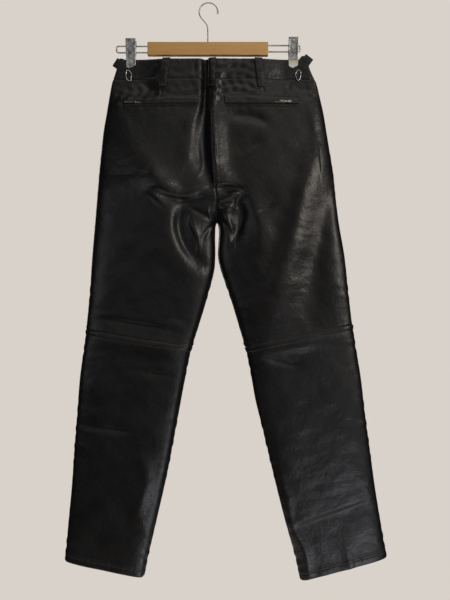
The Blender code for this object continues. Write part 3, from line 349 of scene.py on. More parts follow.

# %% [markdown]
# The second table holds the finer creases. A crease always has two half widths, because
# leather breaks sharply on one side and rolls softly on the other.

# %% Fine creases
# across, height, depth, left half width, right half width
CREASES = {
    BACK: {
        "groove's second lip": (
            (-15, -270, 0, 3, 3), (-15, -300, -1.2, 3, 3), (-15, -355, -1.2, 3, 3), (-28, -372, 0, 3, 4),
        ),
        "seat seam's crest": ((13, -270, 0, 3, 4), (14, -290, -1, 3, 4), (15, -330, -1, 3, 4), (16, -345, 0, 3, 4)),
        "band under the left seat": (
            (4, -378, 0, 5, 5), (-20, -391, -3, 6, 7), (-46, -401, -2, 6, 7), (-62, -404, 0, 5, 6),
        ),
        "right cheek hollow": ((16, -418, 0, 3, 4), (40, -415, 2.5, 4, 4), (58, -409, 0, 3, 4)),
        "right facet's top": ((14, -430, 0, 4, 6), (30, -427, -2.5, 4, 8), (46, -425, -2.5, 4, 9), (58, -430, 0, 4, 6)),
        "right lower line": ((40, -506, 0, 2, 3), (46, -500, 1.2, 2, 3), (40, -512, 0, 2, 3)),
        "right diagonal": ((98, -438, 0, 3, 5), (118, -428, 2.5, 3, 6), (138, -419, 0, 3, 6)),
        "left under seat line": (
            (-108, -394, 0, 3, 4), (-80, -406, 2, 3, 5), (-30, -411, 2, 3, 5), (-10, -408, 0, 3, 4),
        ),
        "left small": ((-140, -358, 0, 3, 4), (-126, -359, 1.5, 3, 4), (-112, -362, 0, 3, 4)),
        "left diagonal": ((-132, -393, 0, 4, 5), (-110, -410, 2.5, 4, 5), (-86, -430, 0, 4, 5)),
        "left crotch ridge": ((2, -424, 0, 3, 3), (1, -436, -2, 3, 3), (5, -446, -2, 3, 3), (12, -455, 0, 3, 3)),
        "left upper facet": ((12, -452, 0, 4, 3), (-18, -436, 3, 6, 4), (-46, -421, 0, 4, 4)),
        "left fan's crest": ((-36, -444, 0, 8, 4), (-34, -458, -3, 10, 4), (-20, -493, -3, 6, 4), (-19, -526, 0, 5, 4)),
        "left fan's lower edge": ((12, -458, 0, 3, 5), (-2, -474, 2.5, 3, 6), (-14, -498, 0, 3, 5)),
        "left waist drag": (
            (-158, -150, 0, 4, 5), (-146, -160, 2.5, 3, 5), (-130, -172, 1.5, 3, 5), (-118, -180, 0, 4, 5),
        ),
        "left waist arc": ((-138, -158, 0, 4, 5), (-124, -146, 2, 3, 6), (-112, -134, 2, 3, 6), (-100, -130, 0, 3, 5)),
        "right waist drag": (
            (183, -146, 0, 3, 4), (174, -160, 2.5, 3, 5), (168, -176, 2.5, 3, 5), (166, -191, 0, 3, 4),
        ),
        "right waist arc": ((128, -128, 0, 4, 5), (146, -134, 1, 3, 6), (158, -146, 0, 3, 5)),
        "left hollow": (
            (-48, -430, 0, 14, 6), (-59, -450, 3, 18, 7), (-55, -485, 3.5, 18, 7), (-38, -518, 2.5, 14, 6),
            (-18, -536, 0, 10, 6),
        ),
        "right hollow": (
            (58, -408, 0, 6, 6), (67, -430, 4, 8, 8), (63, -465, 5, 8, 8), (52, -490, 3, 8, 6),
            (46, -506, 0, 6, 5),
        ),
        "right small hollow": ((24, -444, 0, 4, 4), (35, -460, 3, 5, 5), (44, -476, 2.5, 5, 4), (47, -488, 0, 4, 4)),
        "left seat sweep": (
            (-128, -364, 0, 20, 24), (-104, -371, -3, 20, 28), (-84, -379, -3, 12, 28), (-60, -386, 0, 10, 20),
        ),
        "right waist block": (
            (150, -119, -1, 8, 22), (151, -135, -3, 8, 24), (152, -158, -3, 8, 24), (156, -180, 0, 8, 20),
        ),
        "dart below the left loop": ((-96, -174, 0, 2.5, 2.5), (-96, -184, 1.2, 2.5, 2.5), (-96, -197, 0, 2.5, 2.5)),
        "dart below the right loop": ((112, -174, 0, 2.5, 2.5), (113, -184, 1.2, 2.5, 2.5), (113, -197, 0, 2.5, 2.5)),
        "right hip lean": (
            (205, -180, 0, 50, 12), (215, -230, -3, 55, 12), (222, -290, -3, 55, 12), (226, -330, 0, 50, 12),
        ),
        "right calf crest": (
            (150, -960, 0, 12, 40), (156, -1010, -2, 12, 45), (162, -1060, -4, 12, 50), (186, -1110, -4.5, 12, 50),
            (198, -1140, -4.5, 10, 40), (204, -1175, -3, 10, 36),
        ),
        "right hem valley": ((176, -1100, 0, 8, 8), (184, -1135, 4, 9, 9), (188, -1180, 4, 8, 9)),
        "right hem second": ((286, -1120, 0, 8, 14), (290, -1150, -2.5, 8, 16), (292, -1180, -2.5, 8, 16)),
        "waistband crease": ((-29, -120, 0, 3, 3), (-28, -140, 1.2, 2.5, 3), (-28, -158, 0, 3, 3)),
        "waistband ridge": ((34, -122, 0, 5, 7), (24, -152, -2.5, 5, 8), (16, -194, -3, 5, 9), (16, -212, 0, 5, 8)),
        "left knee line": (
            (-226, -650, 0, 3, 4), (-188, -656, 1.2, 3, 4), (-112, -668, 1.5, 3, 4), (-36, -682, 0, 3, 4),
        ),
        "left knee short": ((-86, -650, 0, 3, 5), (-60, -652, 1.5, 3, 5), (-32, -658, 0, 3, 5)),
        "right knee line": ((98, -722, 0, 5, 3), (136, -737, 1.5, 5, 3), (192, -748, 0, 5, 3)),
        "left calf line": ((-148, -756, 0, 3, 4), (-104, -764, 1.2, 3, 4), (-56, -768, 0, 3, 4)),
        "left shin line": (
            (-262, -870, 0, 4, 3), (-220, -876, 1.2, 4, 3), (-170, -882, 1.2, 4, 3), (-142, -886, 0, 4, 3),
        ),
    },
    FRONT: {
        "left crotch line": ((-2, -428, 0, 3, 5), (-50, -410, 3, 3, 6), (-110, -384, 0, 3, 5)),
        "right crotch line": ((36, -430, 0, 3, 5), (84, -408, 3, 3, 6), (150, -376, 0, 3, 5)),
        "left short": ((-16, -446, 0, 3, 4), (-62, -440, 2, 3, 5), (-98, -430, 0, 3, 4)),
        "right short": ((48, -448, 0, 3, 4), (96, -442, 2, 3, 5), (132, -432, 0, 3, 4)),
        "left knee line": ((-226, -662, 0, 3, 5), (-140, -684, 2.5, 3, 5), (-60, -694, 0, 3, 5)),
        "right knee line": ((280, -656, 0, 3, 5), (200, -684, 2.5, 3, 5), (96, -700, 0, 3, 5)),
        "left knee second": ((-220, -730, 0, 3, 5), (-150, -742, 2, 3, 5), (-74, -744, 0, 3, 5)),
        "right knee second": ((288, -726, 0, 3, 5), (210, -742, 2, 3, 5), (118, -748, 0, 3, 5)),
        "left clip drag": ((-160, -142, 0, 3, 5), (-138, -166, 2, 3, 5), (-124, -192, 0, 3, 5)),
        "right clip drag": ((176, -142, 0, 3, 5), (158, -168, 2, 3, 5), (146, -192, 0, 3, 5)),
    },
}
# Very soft waves all over: wavelength, turn in degrees, start, height
WAVES = ((97, 12, 0.3, 0.3), (71, 78, 1.9, 0.2), (47, 140, 4.1, 0.14), (34, 38, 2.6, 0.1), (27, 105, 5.2, 0.08))


# %% The skin
# At the edges of a piece the folds and waves fade over this turn of the ring
EDGE_TURN = 0.4
# Beyond a clip's plate: how far the grip holds fully and then fades, across and downwards
PINCH_KEEPS, PINCH_FADES = (4, 10), (62, 75)
# The waist's corner rises over this run past the clip, and down to this depth
CORNER_RUN, CORNER_DEEP = 9, 38
# The top of the leather is crumpled: height of its lower end, how far it fades, how tall
CRUMPLED_TO, CRUMPLE_FADES, CRUMPLE = -240, 60, 0.5


def smooth(rows, at, column=1):
    """A smooth curve through a table's rows, read at a height."""
    table = np.array(sorted(rows), dtype=float)
    known, values = table[:, 0], table[:, column]
    slope = np.gradient(values, known)
    at = np.clip(at, known[0], known[-1])
    i = np.clip(np.searchsorted(known, at) - 1, 0, len(known) - 2)
    span = known[i + 1] - known[i]
    t = (at - known[i]) / span
    start = (1 + 2 * t) * (1 - t) ** 2 * values[i] + t * (1 - t) ** 2 * span * slope[i]
    return start + t * t * (3 - 2 * t) * values[i + 1] + t * t * (t - 1) * span * slope[i + 1]


def eased(t):
    """From 0 to 1, with a soft start and end."""
    t = np.clip(t, 0, 1)
    return t * t * (3 - 2 * t)


def bell(away, half_width):
    return np.exp(-((away / half_width) ** 2))


def blunt(value, power):
    return np.sign(value) * np.abs(value) ** power


def softened(rows, parts=4):
    """A fold's rows with more between them, on a smooth line, and a half width for each side."""
    rows = [row if len(row) == 5 else (*row, row[3]) for row in rows]
    run = np.concatenate([[0], np.cumsum([math.dist(a[:2], b[:2]) for a, b in zip(rows, rows[1:])])])
    fine = np.interp(np.arange(parts * (len(rows) - 1) + 1) / parts, np.arange(len(rows)), run)
    return np.stack([smooth(list(zip(run, column)), fine) for column in zip(*rows)], axis=-1)


def fold_depth(folds, x, z):
    """How far folds push the cloth in at a place. Each fold is a soft trough along its rows."""
    total = np.zeros_like(x)
    for rows in folds.values():
        line = softened(rows)
        reach = 2.6 * line[:, 3:].max()
        (left, low), (right, high) = line[:, :2].min(axis=0) - reach, line[:, :2].max(axis=0) + reach
        near = (x > left) & (x < right) & (z > low) & (z < high)
        if not near.any():
            continue
        here_x, here_z = x[near], z[near]
        deepest = np.zeros_like(here_x)
        for start, end in zip(line, line[1:]):
            (from_x, from_z), (run_x, run_z) = start[:2], end[:2] - start[:2]
            off_x, off_z = here_x - from_x, here_z - from_z
            along = np.clip((off_x * run_x + off_z * run_z) / (run_x**2 + run_z**2), 0, 1)
            away = np.hypot(off_x - along * run_x, off_z - along * run_z)
            depth, left_half, right_half = (start[i] + along * (end[i] - start[i]) for i in (2, 3, 4))
            depth = depth * bell(away, np.where(off_x * run_z - off_z * run_x < 0, left_half, right_half))
            deepest = np.where(np.abs(depth) > np.abs(deepest), depth, deepest)
        total[near] += deepest
    return total


def pinch(x, z):
    """1 where a clip grips the waist, and less around it."""
    most = np.zeros_like(x)
    for start, end, _, bottom in CLIPS.values():
        middle, half = (start + end) / 2, (end - start) / 2
        across = eased(1 - (np.abs(x - middle) - half - PINCH_KEEPS[0]) / PINCH_FADES[0])
        down = eased(1 - (bottom - PINCH_KEEPS[1] - z) / PINCH_FADES[1])
        most = np.maximum(most, across * down)
    return most


def under(height):
    """0 above the seat's turn, and 1 where the seat seam has turned under to the crotch."""
    share = np.clip((SEAT_TURN - height) / (SEAT_TURN - CROTCH), 0, 1)
    return share**SEAT_CURVE


def waves(x, z):
    """Very soft waves all over, and small uneven crumples between the waist and the pockets."""
    patchy = eased((z - CRUMPLED_TO) / CRUMPLE_FADES) * (0.6 + 0.4 * np.sin(x / 31))
    crumples = np.sin(x / 3.1 + 1.9 * np.sin(z / 9)) + np.sin(z / 2.7 + 1.6 * np.sin(x / 14) + 0.05 * x)
    total = CRUMPLE * patchy * crumples
    for length, turn, start, tall in WAVES:
        way = x * math.cos(math.radians(turn)) + z * math.sin(math.radians(turn))
        total += tall * np.sin(way * math.tau / length + start + 1.4 * np.sin(z / 57 + start))
    return total


def skin(leg, face, height, share):
    """Points of a leg's surface: height down the inseam, and share of the way in from the side seam."""
    height, share = np.broadcast_arrays(np.asarray(height, float), np.asarray(share, float))
    side_height = height + smooth(RING_RISE[leg], height)
    outer = smooth(SIDE_SEAM[leg], side_height)
    inner = np.where(height > CROTCH, smooth(SEAT_SEAM, height), smooth(INSEAM[leg], height))
    last_turn = math.pi / 2 * (1 + under(height))
    turn = share * last_turn
    power = 2 / smooth(ROUNDNESS, height)
    along = (1 - blunt(np.cos(turn), power)) / (1 - blunt(np.cos(last_turn), power))
    x = outer + (inner - outer) * along
    z = side_height + (height - side_height) * along
    out = smooth(HALF_DEPTH, height, 1 if face == BACK else 2) * np.maximum(np.sin(turn), 0) ** power
    at_edges = eased(turn / EDGE_TURN) * eased((math.pi - turn) / EDGE_TURN)
    folds = fold_depth(LARGE_FOLDS[face], x, z) + fold_depth(CREASES[face], x, z)
    out = out - (folds + waves(x, z)) * at_edges
    out = np.where(out > CLIP_GRIP, out + (CLIP_GRIP - out) * pinch(x, z), out)
    start, end = CLIPS[leg][:2]
    beyond = start - x if leg == "left" else x - end
    z = z + CORNER_LIFT[leg] * eased(beyond / CORNER_RUN) * eased(1 - (WAIST_TOP - z) / CORNER_DEEP)
    return np.stack([x, face * out, z], axis=-1)


def unit(vectors):
    return vectors / np.maximum(np.linalg.norm(vectors, axis=-1, keepdims=True), 1e-9)


def outward(leg, face, height, share):
    """The way out of the surface, square to it."""
    tiny_up, tiny_share = 0.4, 0.002
    up = skin(leg, face, height + tiny_up, share) - skin(leg, face, height - tiny_up, share)
    more, less = np.minimum(share + tiny_share, 1), np.maximum(share - tiny_share, 0)
    along = skin(leg, face, height, more) - skin(leg, face, height, less)
    return unit(np.cross(up, along) * face * (1 if leg == "left" else -1))


probe = skin("left", BACK, np.array([KNEE["left"]]), np.array([0.5]))[0]
print("a point at the back of the left knee, in mm:", np.round(probe, 1))

# %% [markdown]
# ## Seams
# At a plain seam both pieces turn in, so a narrow groove shows, and the turned edges under the leather
# lift it a little on both sides. Where the turned edge is sewn down, a stitched groove runs beside it, and
# the thread draws the leather into small puckers.

# %% Seam forms
PLAIN_STEPS = (0, 0.5, 1.0, 1.7, 2.6, 4.2, 6.5, 9.0)
# Steps: distances from the edge at which the grid has a line. Raised: how high, and how far in.
# Stitches: distances of the stitched grooves from the edge
SEAMS = {
    form: {"steps": steps, "raised": raised, "stitches": stitches}
    for form, steps, raised, stitches in (
        ("plain", PLAIN_STEPS, (0.35, 8.0), ()),
        ("waist", PLAIN_STEPS, (0.1, 6.0), ()),
        ("sewn", (0, 0.5, 1.0, 1.7, 2.4, 3.0, 3.6, 5.0, 7.0, 9.0), (0.45, 8.0), (3.0,)),
        ("knee", (0, 0.5, 1.0, 1.7, 2.6, 4.5, 7.0, 9.0, 9.9, 10.5, 11.1, 12.0, 14.0), (0.6, 10.5), (10.5,)),
        ("hem", (0, 0.4, 0.9, 1.6, 3.0, 6.0, 9.0, 11.2, 11.8, 12.4, 13.0, 14.6, 16.9, 17.5, 18.1, 18.7, 20.5,
                 23.0), (0.5, 18.6), (12.4, 17.5)),
        ("band top", (0, 0.4, 0.9, 1.5, 2.1, 2.7, 3.3, 4.4), (0.3, 40.0), (2.7,)),
        ("band bottom", (0, 0.5, 1.0, 1.6, 2.2, 2.8, 3.8), (0.25, 6.0), (2.2,)),
    )
}
FREE_EDGES = ("hem", "band top")
# A raised band starts this far from the edge, and it rises and falls over these runs
RISE_FROM, RISE_OVER, FALL_OVER = 0.6, 1.4, 2.0
# Depths and half widths in mm
GROOVE, GROOVE_HALF = 0.8, 1.0
FREE_EDGE_DROP, FREE_EDGE_HALF = 0.5, 0.8
STITCH_GROOVE, STITCH_GROOVE_HALF = 0.4, 0.75
PUCKER, PUCKER_HALF = 0.28, 3.5
GATHER, GATHER_REACH = 1.3, 16.0


def puckers(along):
    """Uneven small waves along a seam, from -1 to 1."""
    return (np.sin(along / 1.55 + 1.3 * np.sin(along / 23)) + 0.7 * np.sin(along / 2.35 + 2.0)) / 1.7


def gathers(across, along, strength):
    """Short uneven wrinkles that run in from a long seam and fade."""
    short = np.sin(along / 3.1 + 2.2 * np.sin(along / 41) + 0.05 * across)
    long = 0.8 * np.sin(along / 5.3 + 1.0 + 1.7 * np.sin(along / 67))
    patchy = 0.5 + 0.5 * np.sin(along / 29 + 1.1 * np.sin(along / 83))
    fading = eased(across / 3) * np.exp(-across / GATHER_REACH)
    return strength * GATHER * (short + long) / 1.8 * patchy * fading


def seam_relief(edges):
    """How far the leather stands out near a piece's seams. An edge is (form, distance from it, run along it)."""
    raised, cut = 0.0, 0.0
    for form, away, along in edges:
        rise, reach = SEAMS[form]["raised"]
        band = eased((away - RISE_FROM) / RISE_OVER) * eased((reach + FALL_OVER / 2 - away) / FALL_OVER)
        raised = raised + rise * band
        for line in SEAMS[form]["stitches"]:
            raised = raised - STITCH_GROOVE * bell(away - line, STITCH_GROOVE_HALF)
            raised = raised + PUCKER * puckers(along) * bell(away - line, PUCKER_HALF)
        if form in FREE_EDGES:
            raised = raised - FREE_EDGE_DROP * bell(away, FREE_EDGE_HALF)
        else:
            cut = np.maximum(cut, bell(away, GROOVE_HALF))
    return raised * (1 - cut) - GROOVE * cut


# %% [markdown]
# ## A sheet of leather
# Each piece is a grid that is laid on the skin and then given the leather's thickness. The grid's lines
# are close together at the seams, where the form is fine, and even between them.

# %% Making a sheet
sewn_on = {}


def pick(made):
    """Makes an object the active one, and the only one chosen."""
    for chosen in list(bpy.context.selected_objects):
        chosen.select_set(False)
    made.select_set(True)
    bpy.context.view_layer.objects.active = made


def spread(length, first, last, count):
    """Distances across a piece: steps at both ends, and an even run of count steps between."""
    middle = np.linspace(first[-1], length - last[-1], count + 1)[1:-1]
    return np.concatenate([first, middle, length - np.array(last[::-1])])


def sheet_mesh(name, points, wear=None):
    """A primitive grid with a corner for each point, moved onto them. Points are in mm."""
    rows, columns = points.shape[:2]
    bpy.ops.mesh.primitive_grid_add(x_subdivisions=columns - 1, y_subdivisions=rows - 1, size=2)
    made = bpy.context.object
    made.name = made.data.name = name
    flat = np.zeros(len(made.data.vertices) * 3, np.float32)
    made.data.vertices.foreach_get("co", flat)
    flat = flat.reshape(-1, 3)
    column = np.rint((flat[:, 0] + 1) / 2 * (columns - 1)).astype(int)
    row = np.rint((1 - flat[:, 1]) / 2 * (rows - 1)).astype(int)
    made.data.vertices.foreach_set("co", (points[row, column] * MM).astype(np.float32).ravel())
    if wear is not None:
        polish = made.data.attributes.new("wear", "FLOAT", "POINT")
        polish.data.foreach_set("value", wear[row, column].astype(np.float32))
    made.data.update()
    return made


def finish_piece(made, materials, stands_for=None, on=None, smooth_angle=60):
    """Shading, materials, what the piece stands for, and the leather piece that it is sewn on."""
    for material in materials:
        made.data.materials.append(material)
    pick(made)
    bpy.ops.object.shade_smooth_by_angle(angle=math.radians(smooth_angle))
    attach(made, "root")
    if stands_for:
        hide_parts(stands_for)
    if on:
        sewn_on.setdefault(on, []).append(made)


# %% [markdown]
# ## Cowhide
# The leather is aniline-dyed black cowhide with a light wax finish: almost no colour of its own, a soft
# gloss, and a fine pebble grain of about 1 mm. Handling polishes the rolled edges beside the seams and the
# tops of the folds, and rubs a little of the dye off them, which the "wear" attribute drives. In the nooks
# beside straps and seams there is no wax, so they stay dull.

# %% Leather materials
GRAIN_MM, WRINKLE_MM, RUMPLE_MM, CLOUD_MM, NOOK_MM = 1.3, 7.0, 24.0, 46.0, 5.0
# Roughness of waxed leather, from patch to patch, how much wear takes off it, and in the nooks
WAXED, POLISHED, UNWAXED = (0.3, 0.4), -0.12, 0.85


def cowhide(name, dye="#0f0e0e", rubbed="#1f1c1a"):
    """Grain over wrinkles over a broad rumple. Wear rubs the dye and polishes, and nooks are dull."""
    made, tree, shader, place = new_material(name, IOR=1.5)
    cloud = noise(tree, place, 1000 / CLOUD_MM, 4.0)
    rumple = noise(tree, place, 1000 / RUMPLE_MM, 2.5)
    wrinkle = noise(tree, place, 1000 / WRINKLE_MM, 5.0, Roughness=0.6, Distortion=0.3)
    cells = add(tree, "ShaderNodeTexVoronoi", {"Vector": place, "Scale": 1000 / GRAIN_MM}, feature="SMOOTH_F1")
    wear = add(tree, "ShaderNodeAttribute", attribute_name="wear").outputs["Fac"]
    patchy = add(tree, "ShaderNodeMath", {0: wear, 1: wrinkle}, operation="MULTIPLY").outputs[0]
    rub = ranged(tree, patchy, 0.05, 0.6)
    dull = ranged(tree, cloud, 0.3, 0.7, *WAXED)
    shine = add(tree, "ShaderNodeMath", {0: rub, 1: POLISHED, 2: dull}, operation="MULTIPLY_ADD").outputs[0]
    nook = add(tree, "ShaderNodeAmbientOcclusion", {"Distance": NOOK_MM * MM}, samples=6).outputs["AO"]
    waxed = add(tree, "ShaderNodeMix", {0: ranged(tree, nook, 0.4, 0.95), 2: UNWAXED, 3: shine}).outputs[0]
    broad = bump(tree, rumple, 0.5, 0.002)
    soft = bump(tree, wrinkle, 0.45, 0.001, Normal=broad)
    fine = bump(tree, cells.outputs["Distance"], 0.6, 0.00018, Normal=soft)
    fill(tree, shader, {"Base Color": mixed(tree, rub, dye, rubbed), "Roughness": waxed, "Normal": fine})
    return made


def flesh_side():
    """The suede inside of the hide: dull, napped and dyed through."""
    made, tree, shader, place = new_material("suede inner side of cowhide", Roughness=0.92, Sheen_Weight=0.15)
    nap = noise(tree, place, 900.0, 3.0)
    fill(tree, shader, {"Base Color": mixed(tree, nap, "#161413", "#2a2725"), "Normal": bump(tree, nap, 0.6, 0.0002)})
    return made


hide = cowhide("black aniline cowhide")
strap_hide = cowhide("black cowhide strap", dye="#141312", rubbed="#2a2623")
suede = flesh_side()
print("leathers:", hide.name, "|", strap_hide.name, "|", suede.name)

# %% [markdown]
# ## The leg pieces
# Each leg has an upper piece and a lower piece, behind and in front, joined at the knee. All share the skin,
# so their edges meet along the same seam lines.

# %% Cutting the leg pieces
LEATHER = 1.3
# height, distance between rows
SPACING = ((-159, 2.3), (-480, 2.4), (-560, 3.2), (-1184, 4.0))
# The columns lie this much farther apart than the rows halfway down a piece, and the front is coarser
WIDER, COARSER = 1.15, {BACK: 1.0, FRONT: 1.5}
DENSE = np.linspace(0, 1, 201)
# The gathers grow below the crotch: how far below, over what height, and their share at the side above it
GATHERS_FROM, GATHERS_OVER, GATHERS_ABOVE = 60, 120, 0.35
# The leather lies inside the skin, and in these pieces outside it
THICKENED_OUT = ("front_upper_left", "front_lower_left", "back_lower_right", "front_upper_right", "front_lower_right")
outlines = {}


def shared_normals(leg, face, height, share):
    """At a seam both pieces use the mean of their two ways out, so that their edges meet."""
    normals = outward(leg, face, height, share)
    other = "right" if leg == "left" else "left"
    side = height[:, 0], np.zeros(len(height))
    centre = height[:, -1], np.ones(len(height))
    normals[:, 0] = unit(normals[:, 0] + outward(leg, -face, *side))
    beside = np.where((height[:, -1] > CROTCH)[:, None], outward(other, face, *centre), outward(leg, -face, *centre))
    normals[:, -1] = unit(normals[:, -1] + beside)
    return normals


def runs(points, axis):
    """How far each point lies along its row or column."""
    step = np.linalg.norm(np.diff(points, axis=axis), axis=-1)
    start = np.zeros_like(np.take(step, [0], axis=axis))
    return np.concatenate([start, np.cumsum(step, axis=axis)], axis=axis)


def ring_grid(leg, face, heights, first, last, spacing):
    """Heights and shares of a grid whose columns lie at even distances round each ring."""
    height, share = np.meshgrid(heights, DENSE, indexing="ij")
    run = runs(skin(leg, face, height, share), 1)
    count = int((run[:, -1].max() - first[-1] - last[-1]) / spacing)
    shares = np.array([np.interp(spread(r[-1], first, last, count), r, DENSE) for r in run])
    return np.repeat(heights[:, None], shares.shape[1], axis=1), shares


def wear_of(face, points, edges):
    """More polish on the rolled edges beside seams, and on the tops of folds."""
    x, z = points[..., 0], points[..., 2]
    worn = np.clip(-(fold_depth(LARGE_FOLDS[face], x, z) + 2 * fold_depth(CREASES[face], x, z)) / 9, 0, 0.7)
    for _, away, _ in edges:
        worn = np.maximum(worn, 0.85 * bell(away - 2.0, 1.4))
    return worn


def row_heights(top, bottom, above, below, coarser):
    """Heights of a piece's rows: steps at both edges, and SPACING between."""
    fine = np.linspace(top - above[-1], bottom + below[-1], 2000)
    pace = 1 / (coarser * smooth(SPACING, fine))
    passed = np.concatenate([[0], np.cumsum((pace[1:] + pace[:-1]) / 2 * -np.diff(fine))])
    middle = np.interp(np.linspace(0, passed[-1], int(passed[-1]) + 1), passed, fine)[1:-1]
    return np.concatenate([top - np.array(above), middle, bottom + np.array(below[::-1])])


def leather_piece(node, face, points, normals, edges, relief):
    """A cut piece: its grid with its relief, and the leather's thickness behind that side."""
    shaped = points + normals * relief[..., None]
    made = sheet_mesh(f"leather_{node}", shaped, wear_of(face, points, edges))
    row, column = points.shape[0] // 2, points.shape[1] // 4
    here, beside, above = shaped[row, column], shaped[row, column + 1], shaped[row - 1, column]
    faces_out = np.cross(beside - here, above - here) @ normals[row, column] > 0
    if faces_out == (node in THICKENED_OUT):
        made.data.flip_normals()
    solid = made.modifiers.new("thickness", "SOLIDIFY")
    solid.thickness, solid.offset, solid.material_offset = LEATHER * MM, -1, 1
    pick(made)
    bpy.ops.object.modifier_apply(modifier=solid.name)
    finish_piece(made, (hide, suede), node)
    outlines[node] = {"points": shaped, "normals": normals, "edges": edges, "piece": made}
    print(f"{node}: {shaped.shape[0]} x {shaped.shape[1]} corners")


def leg_piece(node, leg, face, top, bottom, forms):
    """One cut piece of a leg. Forms are the seams at its side, inner, top and bottom edges."""
    side, inner, above, below = (SEAMS[form]["steps"] for form in forms)
    heights = row_heights(top, bottom, above, below, COARSER[face])
    spacing = WIDER * COARSER[face] * smooth(SPACING, (top + bottom) / 2)
    height, share = ring_grid(leg, face, heights, side, inner, spacing)
    points = skin(leg, face, height, share)
    across, down = runs(points, 1), runs(points, 0)
    beyond = across[:, -1:] - across
    places = ((across, down), (beyond, down), (top - height, across), (height - bottom, across))
    edges = [(form, *place) for form, place in zip(forms, places)]
    low = eased((CROTCH - GATHERS_FROM - height) / GATHERS_OVER)
    at_side = GATHERS_ABOVE + (1 - GATHERS_ABOVE) * low
    relief = seam_relief(edges) + gathers(across, down, at_side) + gathers(beyond, down, low)
    leather_piece(node, face, points, shared_normals(leg, face, height, share), edges, relief)


for leg in LEGS:
    for word, face in (("back", BACK), ("front", FRONT)):
        inner = "sewn" if (leg, face) == ("right", BACK) else "plain"
        leg_piece(f"{word}_upper_{leg}", leg, face, WAIST_SEAM, KNEE[leg], ("plain", inner, "waist", "plain"))
        leg_piece(f"{word}_lower_{leg}", leg, face, KNEE[leg], HEM[leg], ("plain", "plain", "knee", "hem"))

# %% [markdown]
# ## The waistband
# Each half of the waistband runs from the centre back, round the side, to the centre front. It is folded
# over at the top and sewn through along both edges.

# %% Waistband halves
BAND_ROWS, BAND_SPACING = 13, 2.6
BAND_FOLD_STEPS = (0, 0.4, 0.9, 1.6, 2.6)


def waistband(leg):
    above, below = SEAMS["band top"]["steps"], SEAMS["band bottom"]["steps"]
    heights = WAIST_TOP - spread(WAIST_TOP - WAIST_SEAM, above, below, BAND_ROWS)
    grids, normals = [], []
    for face, turned in ((BACK, slice(None, None, -1)), (FRONT, slice(1, None))):
        height, share = ring_grid(leg, face, heights, BAND_FOLD_STEPS, PLAIN_STEPS, BAND_SPACING)
        grids.append(skin(leg, face, height, share)[:, turned])
        normals.append(shared_normals(leg, face, height, share)[:, turned])
    points, normals = np.concatenate(grids, axis=1), np.concatenate(normals, axis=1)
    across = runs(points, 1)
    height = np.repeat(heights[:, None], points.shape[1], axis=1)
    edges = (
        ("plain", across, WAIST_TOP - height), ("plain", across[:, -1:] - across, WAIST_TOP - height),
        ("band top", WAIST_TOP - height, across), ("band bottom", height - WAIST_SEAM, across),
    )
    leather_piece(f"waistband_{leg}", BACK, points, normals, edges, seam_relief(edges))


for leg in LEGS:
    waistband(leg)

# %% [markdown]
# ## Strips laid on the cloth
# Belt loops, pocket welts and straps are folded strips of the same hide. Each is closed all round, with
# edges as round as it is thick. It is laid by rays that ask how far out the cloth lies under each point.

# %% Laying strips
CLEAR = 0.35
# Where no cloth lies under a place, a strip stays this far out
MISSED = 2.0
# Wear of a strip, and how much more at its edges
STRIP_WEAR, EDGE_WEAR = 0.12, 0.5
STRIP_PUCKER, STRIP_GROOVE_HALF = 0.12, 0.5
strip_tops = {}


def surface_tree(grids):
    """Every piece's outer grid as one surface."""
    points, faces, start = [], [], 0
    for grid in grids:
        rows, columns = grid.shape[:2]
        points += [Vector(p) for p in grid.reshape(-1, 3)]
        index = start + np.arange(rows * columns).reshape(rows, columns)
        corners = index[:-1, :-1], index[1:, :-1], index[1:, 1:], index[:-1, 1:]
        faces += np.stack(corners, -1).reshape(-1, 4).tolist()
        start += rows * columns
    return BVHTree.FromPolygons(points, faces)


cloth = surface_tree([outline["points"] for outline in outlines.values()])


def seat(face, x, z, reach=1.0):
    """How far out the cloth lies at a place, at its most within a small reach."""
    found = []
    for dx, dz in ((0, 0), (reach, 0), (-reach, 0), (0, reach), (0, -reach)):
        hit = cloth.ray_cast(Vector((x + dx, face * 200, z + dz)), Vector((0, -face, 0)), 400)[0]
        if hit is not None and hit.y * face > -1:
            found.append(hit.y * face)
    return max(found, default=MISSED)


def weld(made):
    """Joins corners that lie together, and turns every face out."""
    pick(made)
    bpy.ops.object.mode_set(mode="EDIT")
    bpy.ops.mesh.select_all(action="SELECT")
    bpy.ops.mesh.remove_doubles(threshold=1e-6)
    bpy.ops.mesh.normals_make_consistent(inside=False)
    bpy.ops.object.mode_set(mode="OBJECT")


def edge_distance(across, along):
    """How far a strip's corners lie from its nearest edge."""
    across, along = np.minimum(across, across[-1] - across), np.minimum(along, along[-1] - along)
    return np.minimum(across[None, :], along[:, None])


def closed_strip(name, middle, out, across, along, thick, relief):
    """A strip round a middle surface, with rounded edges. Across and along are its lines' distances."""
    radius = thick / 2
    out = np.broadcast_to(out, middle.shape)

    def rounding(run):
        near = np.minimum(np.minimum(run, run[-1] - run), radius)
        return np.sqrt(np.maximum(1 - (1 - near / radius) ** 2, 0))

    half = radius * rounding(along)[:, None] * rounding(across)[None, :]
    top = middle + out * (half + relief * (half > 0.95 * radius))[..., None]
    bottom = middle - out * half[..., None]
    ring = np.concatenate([top, bottom[:, -2::-1]], axis=1)
    wear = STRIP_WEAR + EDGE_WEAR * bell(edge_distance(across, along) - 0.5, 0.9)
    made = sheet_mesh(name, ring, np.concatenate([wear, wear[:, -2::-1]], axis=1))
    weld(made)
    strip_tops[name] = middle + out * (radius + relief)[..., None], out, across, along
    return made


